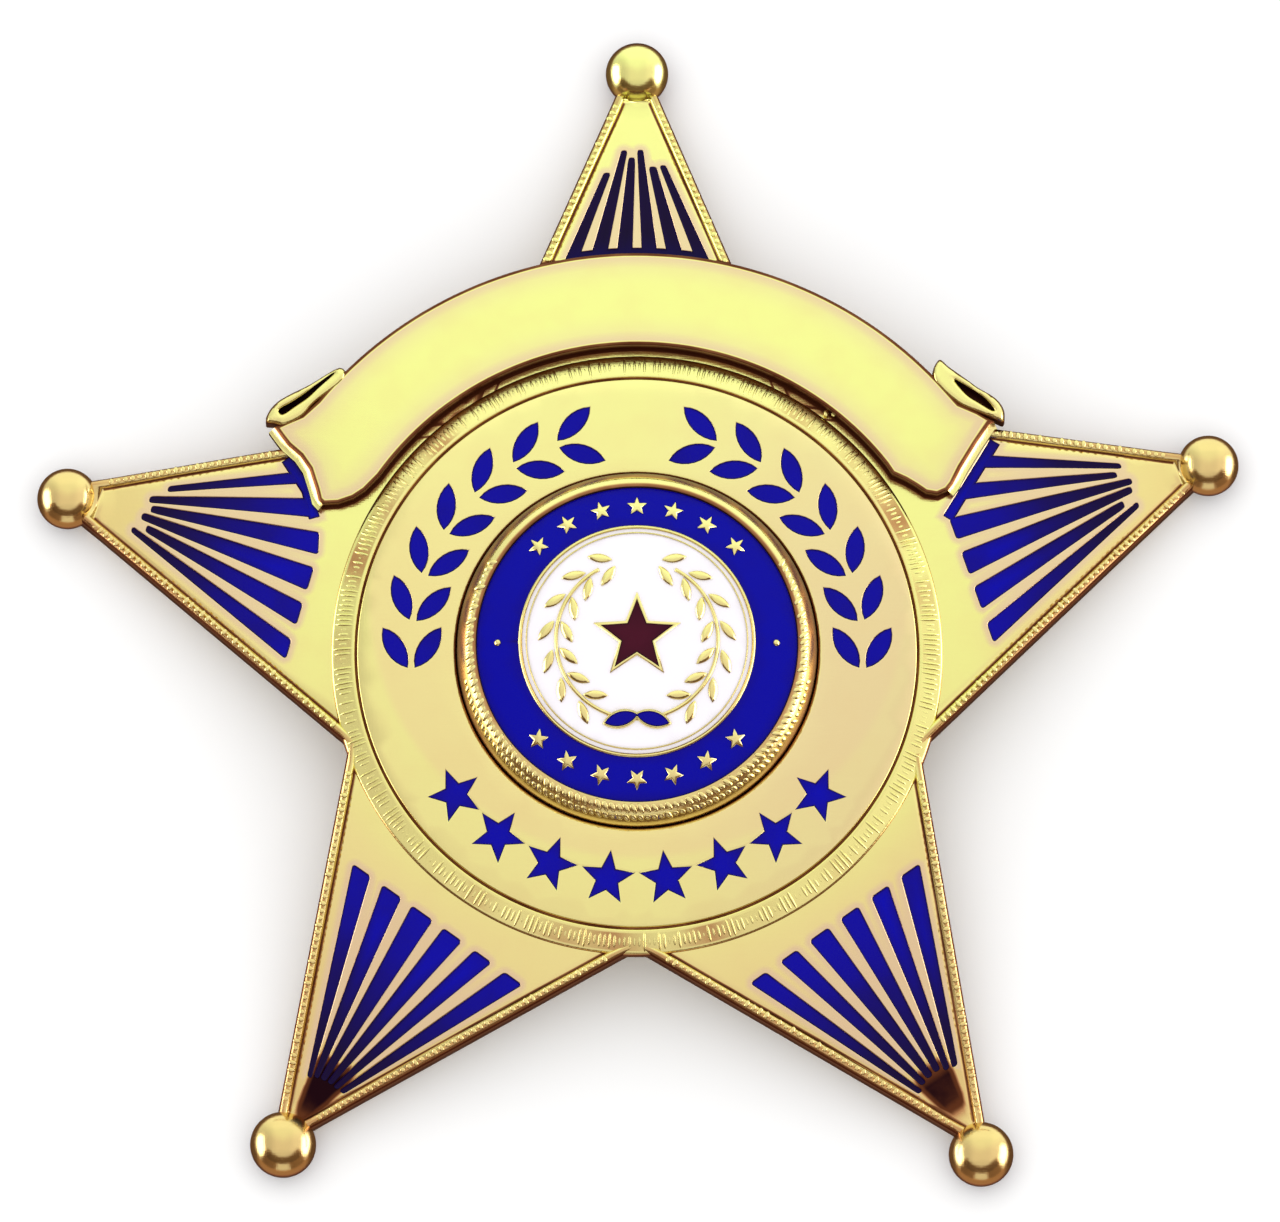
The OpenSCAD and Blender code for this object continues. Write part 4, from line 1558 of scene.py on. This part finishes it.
@dataclass
class CentreRings:
    """The flat ring with its enamel ornament, the groove round it and the milled slope.

    Attributes:
        radii: Radii at which the rings bend.
        rise: Their heights there over the front.
        stain_and_shade: Their tarnish attribute there: painted shade in the grooves, pink shading
            on the flat ring.
        laurel_r: Radius of the laurel's middle line.
        leaf: Length and width of its leaves.
        splay: How far each leaf leans off the middle line, in degrees.
        aside: How far it stands off it.
        pairs: Pairs of leaves in a row.
        pair_turn: Turn from one pair to the next, in degrees.
        stars: Stars in the lower row.
        star_r: Radius of their points.
        stars_r: Radius of their middle line.
        star_turn: Turn from one star to the next, in degrees.
        reeds_r: Radius of the reeding.
        reeds: Its sizes.
    """

    radii: tuple[float, ...] = (
        10.84, 10.89, 10.97, 11.1, 16.7, 16.75, 16.79, 16.87, 16.91, 17.0, 18.2, 18.3, 18.36
    )
    rise: tuple[float, ...] = (
        0.34, 0.44, 0.485, 0.5, 0.5, 0.47, 0.36, 0.36, 0.46, 0.49, 0.11, 0.06, -0.1
    )
    stain_and_shade: tuple[float, ...] = (
        0.8, 0.5, 0.1, -0.25, -0.25, 0.4, 0.7, 0.7, 0.3, 0, 0, 0.5, 0.8
    )
    laurel_r: float = 13.5
    leaf: tuple[float, float] = (2.8, 1.05)
    splay: float = 32.0
    aside: float = 0.98
    pairs: int = 7
    pair_turn: float = 12.3
    stars: int = 8
    star_r: float = 1.6
    stars_r: float = 13.95
    star_turn: float = 14.6
    reeds_r: float = 17.62
    reeds: dict[str, float] = field(default_factory=lambda: {
        "Pitch": 0.3, "Along": 0.1, "Across": 0.5, "Proud": 0.06, "Unevenness": 0.5,
    })

    def laurel(self, side: int, grow: float) -> list[Loop]:
        """Outlines of the leaves of one laurel row."""
        start = 179 if side < 0 else 1
        grown = leaf(*(size + 2 * grow for size in self.leaf))
        return [
            turned(
                turned(
                    grown, side * (90 - row * self.splay), (self.laurel_r + row * self.aside, 0)
                ),
                start + side * self.pair_turn * n,
            )
            for n in range(self.pairs) for row in (-1, 1)
        ]

    def star_row(self, grow: float) -> list[Loop]:
        """Outlines of the stars of the lower row."""
        r = self.star_r * (1 + grow)
        one = turned(star(r, r * 0.42), 90, (self.stars_r, 0))
        middle = (self.stars - 1) / 2
        return [turned(one, 270 + self.star_turn * (n - middle)) for n in range(self.stars)]

    def tarnish_and_shade(self, p: np.ndarray) -> np.ndarray:
        """Painted shade in the grooves and in patches between the reeds, and pink shading
        painted on the flat ring, stronger on its right side.
        """
        r, a = np.linalg.norm(p, axis=1), np.arctan2(p[:, 1], p[:, 0])
        patches = 0.25 + 0.13 * np.cos(3 * (a - 0.52)) + 0.14 * np.cos(19 * a) * np.cos(5 * a + 1)
        between = np.interp(r, (17.0, 17.15, 18.1, 18.2), (0, 1, 1, 0)) * np.clip(patches, 0, 1)
        groove = np.interp(r, self.radii, self.stain_and_shade)
        # pink shading painted stronger towards the ring's right side
        groove = np.where(groove < 0, groove - 0.35 * np.clip(np.cos(a), 0, 1), groove)
        return np.where(between > 0.001, np.maximum(groove, between), groove)

    def build(self, row: RowTree, finishes: Finishes) -> None:
        """Builds the rings, their reeding and their enamel."""
        pockets = self.laurel(-1, GAP) + self.laurel(1, GAP) + self.star_row(GAP)
        shape = Relief(
            solid=[circle(self.radii[-1])],
            holes=[circle(self.radii[0])],
            face=lambda p: front(p) + np.interp(np.linalg.norm(p, axis=1), self.radii, self.rise)
            + rim_drop(depth_in(p, pockets)),
            back=over_front(-0.5),
            pockets=pockets,
            floor=over_front(RING_H - POCKET_D),
            lines=[inset(l, -d) for l in pockets for d in (RIM, RIM + 0.1)]
            + [circle(r) for r in (*self.radii[1:-1], 17.15, 17.6, 18.1)],
            tarnish_and_shade=self.tarnish_and_shade,
        ).build(Shape())
        fit(shape.to_object("centre_rings", finishes.gold), Slot.GOLD, "star_body")
        a, r = np.linspace(0, 2 * math.pi, 361)[:-1], self.reeds_r
        z = front_at(r, 0) + float(np.interp(r, self.radii, self.rise)) - 0.03
        path, up = ring_at(r, a, z), ring_at(0.42, a, 0.9)
        reeds = row.along("ring_reeding", [path], [up], True, finishes.milled, self.reeds)
        fit(reeds, Slot.GOLD, "star_body")
        for name, node, outlines in (
            ("laurel_left", "laurel_enamel_left", lambda grow: self.laurel(-1, grow)),
            ("laurel_right", "laurel_enamel_right", lambda grow: self.laurel(1, grow)),
            ("star_row", "star_row_enamel", self.star_row),
        ):
            shape = enamel(outlines, over_front(RING_H), BELOW)
            fit(shape.to_object(name, finishes.blue), Slot.BLUE, node)


# ---------------------------------------------------------------- the applied seal


@dataclass
class Seal:
    """The applied round seal: rope bezel, enamel fields and a plain laurel and star ornament.

    Attributes:
        top: Height of the middle of its face.
        dome_r: Radius of its domed face.
        foot: Height of its underside.
        enamel_r: Outer radius of its enamel.
        line: Outer and inner radius of the line between its fields.
        hairline: Outer and inner radius of the thin line within that one.
        pips_r: Radius of the circle of small stars.
        wreath_r: Radius of the wreath.
        star: Radii of the points and notches of the middle star.
        star_rim: The same of the metal round it.
        bezel: Radii and heights of the bezel's profile.
        turns: Radius, height, lean, start and end in degrees of each turn of the rope.
        strands: Sizes of the rope's strands.
    """

    top: float = 10.35
    dome_r: float = 25.0
    foot: float = 6.13
    enamel_r: float = 9.6
    line: tuple[float, float] = (7.1, 6.88)
    hairline: tuple[float, float] = (6.66, 6.58)
    pips_r: float = 8.35
    wreath_r: float = 4.85
    star: tuple[float, float] = (2.2, 0.924)
    star_rim: tuple[float, float] = (2.75, 1.155)
    bezel: tuple[tuple[float, float], ...] = (
        (9.55, 6.13), (10.72, 6.13), (10.78, 6.4), (10.78, 6.8), (10.72, 7.2), (10.6, 7.55),
        (10.46, 7.85), (10.32, 8.1), (10.18, 8.3), (9.98, 8.46), (9.8, 8.52), (9.66, 8.52),
        (9.6, 8.46), (9.55, 8.3),
    )
    turns: tuple[tuple[float, ...], ...] = (
        (10.02, 8.36, 30, 150, 390), (10.44, 7.85, 56, 192, 348)
    )
    strands: dict[str, float] = field(default_factory=lambda: {
        "Pitch": 0.42, "Along": 0.19, "Across": 0.34, "Proud": 0.12, "Turn": 0.5,
        "Unevenness": 0.3,
    })

    def dome(self, p: np.ndarray) -> np.ndarray:
        """Height of the seal's face."""
        return self.top - self.dome_r + np.sqrt(self.dome_r ** 2 - (p ** 2).sum(1))

    def bezel_shading(self, v: float, turn: float) -> float:
        """Painted shade on the bezel: a thin dark foot, a copper slope and a brown inner edge, all
        fading at the bottom.
        """
        low = (0.5 - 0.5 * math.sin(2 * math.pi * turn)) ** 2
        at = v * len(self.bezel)
        places = (1, 4, 5, 7, 8, 9, 10, 11, 13)
        high = np.interp(at, places, (1.0, 0.9, 0.7, 0.55, 0.1, 0.1, 0.6, 0.7, 0.8))
        deep = np.interp(at, places, (0.6, 0.2, 0.1, 0.1, 0.4, 0.35, 0.3, 0.3, 0.6))
        return float(high * (1 - low) + deep * low)

    def relief(self, loops: list[Loop], proud: float, soft: float, holes: list[Loop]) -> Shape:
        """Small raised metal with rounded tops.

        Args:
            loops: Outlines of the metal.
            proud: Height of its middle over the enamel.
            soft: Width over which its edge rounds off.
            holes: Outlines left free.

        Returns:
            The shape.
        """

        def face(p: np.ndarray) -> np.ndarray:
            """Height of the metal."""
            near = np.clip(1 - from_wall(p, loops, holes) / soft, 0, 1.1)
            return self.dome(p) + proud * (1 - near ** 2)

        return Relief(
            solid=loops,
            holes=holes,
            face=face,
            back=lambda p: self.dome(p) - 0.3,
            lines=[inset(l, soft * k) for l in loops for k in (0.3, 0.7)],
            pitch=0.5,
            wall_shade=(0.3, 0.8),
        ).build(Shape())

    def pips(self) -> list[Loop]:
        """Outlines of the small stars and of the two dots between them."""
        one = turned(star(0.62, 0.28), -90, (self.pips_r, 0))
        dot, aside = circle(0.2, count=16), (self.pips_r, 0)
        return [
            turned(one, half + 15 * n) for half in (90, 270) for n in range(-3, 4)
        ] + [dot + aside, dot - aside]

    def leaves(self) -> list[Loop]:
        """Outlines of the wreath's leaves."""
        return [
            turned(
                turned(leaf(1.5, 0.55), -side * (90 + row * 33), (self.wreath_r + row * 0.62, 0)),
                90 + side * (24 + 20 * n),
            )
            for side in (-1, 1) for n in range(7) for row in (-1, 1)
        ]

    def bow(self, grow: float) -> list[Loop]:
        """Outlines of the two halves of the bow under the wreath."""
        half = leaf(2 + 2 * grow, 0.8 + 2 * grow)
        return [turned(half, side * -14, (side * 0.95, -self.wreath_r)) for side in (-1, 1)]

    @staticmethod
    def middle_star(r: float, inner: float) -> list[Loop]:
        """The outline of the middle star, a little above the middle."""
        return [star(r, inner) + (0, 0.1)]

    def base(self, row: RowTree, finishes: Finishes) -> None:
        """Builds the ground under the enamel, the bezel and its rope."""
        shape, ground = Shape(), self.top - self.dome_r - 0.25
        shape.lathe(
            [(self.enamel_r, self.foot)]
            + [(r, ground + math.sqrt(self.dome_r ** 2 - r * r))
               for r in (self.enamel_r, 8, 6, 4, 2, 0.5)]
        )
        shape.lathe(self.bezel, segments=192, wrap=True, tarnish_and_shade=self.bezel_shading)
        fit(shape.to_object("seal_bezel", finishes.gold), Slot.GOLD, "seal_disc")
        paths, ups = [], []
        for r, z, lean, start, end in self.turns:
            a, lean = np.radians(np.linspace(start, end, 241)), math.radians(lean)
            paths.append(ring_at(r, a, z))
            ups.append(ring_at(math.sin(lean), a, math.cos(lean)))
        rope = row.along("bezel_rope", paths, ups, False, finishes.milled, self.strands, seed=7)
        fit(rope, Slot.GOLD, "seal_disc")

    def ornament(self, finishes: Finishes) -> None:
        """Builds the raised metal of the face."""
        stem = np.array(arc(4.96, 118, 422, 90) + arc(4.74, 422, 118, 90))
        inner_star = self.middle_star(*self.star)
        for name, loops, proud, soft, holes in (
            ("seal_line", [circle(self.line[0])], 0.07, 0.06, [circle(self.line[1])]),
            ("seal_hairline", [circle(self.hairline[0])], 0.04, 0.03, [circle(self.hairline[1])]),
            ("seal_pips", self.pips(), 0.10, 0.12, []),
            ("seal_leaves", self.leaves(), 0.13, 0.24, self.bow(-GAP)),
            ("seal_stem", [stem], 0.09, 0.08, self.bow(-GAP)),
            ("seal_star_rim", self.middle_star(*self.star_rim), 0.1, 0.1, inner_star),
            ("seal_bow_rim", self.bow(0.16), 0.14, 0.07, self.bow(-GAP)),
        ):
            shape = self.relief(loops, proud, soft, holes)
            fit(shape.to_object(name, finishes.gold), Slot.GOLD, "seal_disc")

    def fields(self, finishes: Finishes) -> None:
        """Builds the enamel of the face."""
        r, inner = self.star
        for name, node, slot, finish, outlines, level, holes in (
            ("seal_ring_blue", "seal_ring_enamel", Slot.BLUE, finishes.seal_blue,
             lambda grow: [circle(self.enamel_r + grow)], -0.02, [circle(7.08)]),
            ("seal_field_white", "seal_field_enamel", Slot.WHITE, finishes.white,
             lambda grow: [circle(self.line[1] + grow)], -0.02, None),
            ("seal_star_maroon", "seal_star_enamel", Slot.MAROON, finishes.maroon,
             lambda grow: self.middle_star(r + 2 * grow, inner + 0.8 * grow), 0.06, None),
            ("seal_bow_blue", "seal_ribbon_enamel", Slot.BLUE, finishes.seal_blue,
             lambda grow: self.bow(-0.04 + grow), 0.09, None),
        ):
            shape = enamel(outlines, self.dome, level, holes, wet=0.09, pitch=0.8)
            fit(shape.to_object(name, finish), slot, node)

    def build(self, row: RowTree, finishes: Finishes) -> None:
        """Builds the seal."""
        self.base(row, finishes)
        self.ornament(finishes)
        self.fields(finishes)


@dataclass
class BroochPin:
    """The pin across the back: a base bar, a hinge, a catch and the wire.

    Attributes:
        span: Distance from hinge to catch.
        y: Where the pin lies above the middle.
        z: Height of the wire's middle.
        overhang: Length of the base bar beyond hinge and catch.
        half_w: Half its width.
        thickness: Its thickness.
        post_r: Radius of the posts at their ends.
        knuckle: Radii along the rolled top of hinge and catch.
        wire_r: Radius of the wire.
        tip_r: Radius of its tip.
    """

    span: float = 26.0
    y: float = 6.0
    z: float = 1.9
    overhang: float = 1.5
    half_w: float = 2.0
    thickness: float = 0.8
    post_r: float = 1.3
    knuckle: tuple[float, ...] = (0.55, 0.8, 0.88, 0.9, 0.72, 0.72, 0.9, 0.88, 0.8, 0.55)
    wire_r: float = 0.55
    tip_r: float = 0.12

    def path(self, x: np.ndarray | float, z: np.ndarray | float) -> np.ndarray:
        """The middle line of a bar in the upright plane of the pin."""
        x, z = np.broadcast_arrays(x, z)
        return np.column_stack([x, np.full(len(x), self.y), z])

    def build(self, finishes: Finishes) -> None:
        """Builds the pin."""
        half, low, high = self.span / 2 + self.overhang, self.y - self.half_w, self.y + self.half_w
        bar = np.array([(-half, low), (half, low), (half, high), (-half, high)])
        shape = Relief(
            solid=[bar],
            face=over_front(-PLATE_T - GAP),
            back=lambda p: front(p) - PLATE_T - GAP - self.thickness
            + np.interp(-depth_in(p, [bar]), (0, 0.1, 0.3), (0.3, 0.1, 0)),
            lines=[inset(bar, d) for d in (0.1, 0.3)],
            wall_shade=(0.2, 0.2),
        ).build(Shape())
        t = np.linspace(0, 1, 8)
        for x in (-self.span / 2, self.span / 2):
            foot = front_at(x, self.y) - PLATE_T - 0.5
            post = self.path(x, self.z - 0.2 + t * (foot - self.z))
            waist = 0.25 * np.sin(t * math.pi)
            shape.tube(post, self.post_r - waist, segments=28, squash=0.9)
            roll = np.linspace(-self.post_r, self.post_r, len(self.knuckle))
            shape.tube(self.path(x + roll, self.z), self.knuckle, segments=28)
        x = np.linspace(-self.span / 2, self.span / 2 + 3, 24)
        radii = np.interp(x, (-13, 12, 16), (self.wire_r, self.wire_r, self.tip_r))
        shape.tube(self.path(x, self.z), radii, segments=20)
        fit(shape.to_object("brooch_pin_detail", finishes.back), Slot.GOLD, "brooch_pin")


# ---------------------------------------------------------------- studio


@dataclass
class Studio:
    """A pale floor, soft light all round and the camera over the badge.

    Attributes:
        elevation: The camera's height over the horizon, in degrees.
        distance: Its distance in millimetres.
        width: Width of the picture at that distance, in millimetres.
        target: What it looks at, in millimetres.
        soft_light: Strength of the world on everything but its mirror images.
        lamp_energy: Energy of the lamp.
        lamp_size: Its sides in metres.
        lamp_at: Where it hangs, in metres.
    """

    elevation: float = 78.0
    distance: float = 2400.0
    width: float = 76.8
    target: tuple[float, float, float] = (0.1215, 0.1485, 1.5)
    soft_light: float = 1.15
    lamp_energy: float = 0.18
    lamp_size: tuple[float, float] = (0.6, 0.45)
    lamp_at: tuple[float, float, float] = (-0.12, 0.22, 0.55)

    def floor(self) -> None:
        """A wide pale floor, gently uneven in tone."""
        size, count = 8.0, 12
        steps = np.linspace(-size, size, count + 1)
        mesh = bpy.data.meshes.new("floor")
        points = [(x, y, 0.0) for y in steps for x in steps]
        faces = [
            (k, k + 1, k + count + 2, k + count + 1)
            for j in range(count) for k in range(j * (count + 1), j * (count + 1) + count)
        ]
        mesh.from_pydata(points, [], faces)
        material, t = new_material("pale_floor")
        tone = t.mix(t.noise(t.place(), 3.0), (0.95, 0.95, 0.95), (0.97, 0.97, 0.97))
        t.surface({"Base Color": tone, "Roughness": 0.9})
        mesh.materials.append(material)
        floor = linked("floor", mesh)
        floor.visible_glossy = False
        floor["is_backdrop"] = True

    def world(self) -> None:
        """Soft white light for the floor and enamel; the polished metal sees a graded tent."""
        world = bpy.data.worlds.new("tent")
        world.use_nodes = True
        bpy.context.scene.world = world
        t = Tree(world.node_tree)
        x, y, z = t.axes(t.node("ShaderNodeTexCoord", output="Generated"))
        side = abs(x)
        # a greener light from behind, a dark room ahead and dark corners low at the sides
        lemon_reflection = (y - 0.45 * side + 0.25).between(-0.05, 0.75)
        ahead = 1 - y.between(-0.46, -0.22)
        room = ahead * z.between(0.10, 0.18) * (1 - z.between(0.52, 0.62))
        flank = (
            side.between(0.22, 0.36) * (1 - y.between(-0.56, -0.40)) * (1 - z.between(0.10, 0.30))
        )
        shade = (1 - 0.86 * room) * (1 - 0.75 * flank)
        # brighter on the right and behind, dimmer on the left and ahead
        sides = (
            1 - 0.22 * (0.0 - x).between(0.35, 0.8) + 0.16 * x.between(0.35, 0.8)
            + 0.12 * y.between(0.6, 0.85) - 0.12 * (0.0 - y).between(0.45, 0.65)
        )
        panel = (0.87 + 0.20 * lemon_reflection) * sides * z.between(-0.52, -0.30) * shade
        # the table below, and a bright window low on each side
        table = (1 - z.between(-0.50, -0.32)) * (0.38 - 0.28 * y.between(-0.45, -0.15))
        window = side.between(0.88, 0.93) * (1 - z.between(0.30, 0.40)) * z.between(-0.30, -0.20)
        tint = t.mix(lemon_reflection, (1.0, 0.95, 0.92), (0.97, 1.04, 0.92))
        warm = (room + flank + 1.0 - z.between(-0.50, -0.32)).between(0.0, 0.9)
        tint = t.mix(warm, tint, (1.0, 0.56, 0.36))
        strength = 0.04 + panel + table + 3.3 * window
        glossy = t.node("ShaderNodeLightPath", output="Is Glossy Ray")
        shader = t.node("ShaderNodeBackground", {}, {
            "Color": t.mix(glossy, (1.0, 1.0, 1.0), tint),
            "Strength": glossy * (strength - self.soft_light) + self.soft_light,
        })
        t.node("ShaderNodeOutputWorld", {}, {"Surface": shader})

    def lamps(self) -> None:
        """One large soft lamp that gives the badge its weight on the floor."""
        lamp = bpy.data.lights.new("soft_lamp", "AREA")
        lamp.shape, lamp.energy = "RECTANGLE", self.lamp_energy
        lamp.size, lamp.size_y = self.lamp_size
        holder = linked("soft_lamp", lamp)
        holder.location = self.lamp_at
        holder.rotation_euler = (-holder.location).to_track_quat("-Z", "Y").to_euler()
        holder.visible_glossy = False

    def camera(self) -> None:
        """The camera at the photograph's angle."""
        data = bpy.data.cameras.new("camera")
        data.lens = data.sensor_width * self.distance / self.width
        data.clip_start, data.clip_end = 0.1, 30.0
        camera = linked("camera", data)
        tilt = math.radians(self.elevation)
        away = Vector((0, -math.cos(tilt), math.sin(tilt))) * self.distance
        camera.location = (Vector(self.target) + away) * MM
        camera.rotation_euler = (-away).to_track_quat("-Z", "Y").to_euler()
        bpy.context.scene.camera = camera
        bpy.context.scene.view_settings.view_transform = "Standard"

    def build(self) -> None:
        """Sets up the studio."""
        self.floor()
        self.world()
        self.lamps()
        self.camera()


def sizes(bounds: tuple[Vector, Vector]) -> list[list[float]]:
    """A box as plain lists of numbers."""
    return [[float(c) for c in corner] for corner in bounds]


def main() -> None:
    """Builds every piece of the badge in order, then the studio."""
    logging.basicConfig(level=logging.INFO, format="%(message)s")
    cad = sizes(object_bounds())
    finishes, row = Finishes(), RowTree()
    rays = Rays()
    StarPlate(rays).build(row, finishes)
    Banner().build(finishes)
    CentreRings().build(row, finishes)
    rays.build(finishes)
    Seal().build(row, finishes)
    BroochPin().build(finishes)
    Studio().build()
    {"cad": cad, "visual": sizes(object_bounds())}


if __name__ == "__main__":
    main()
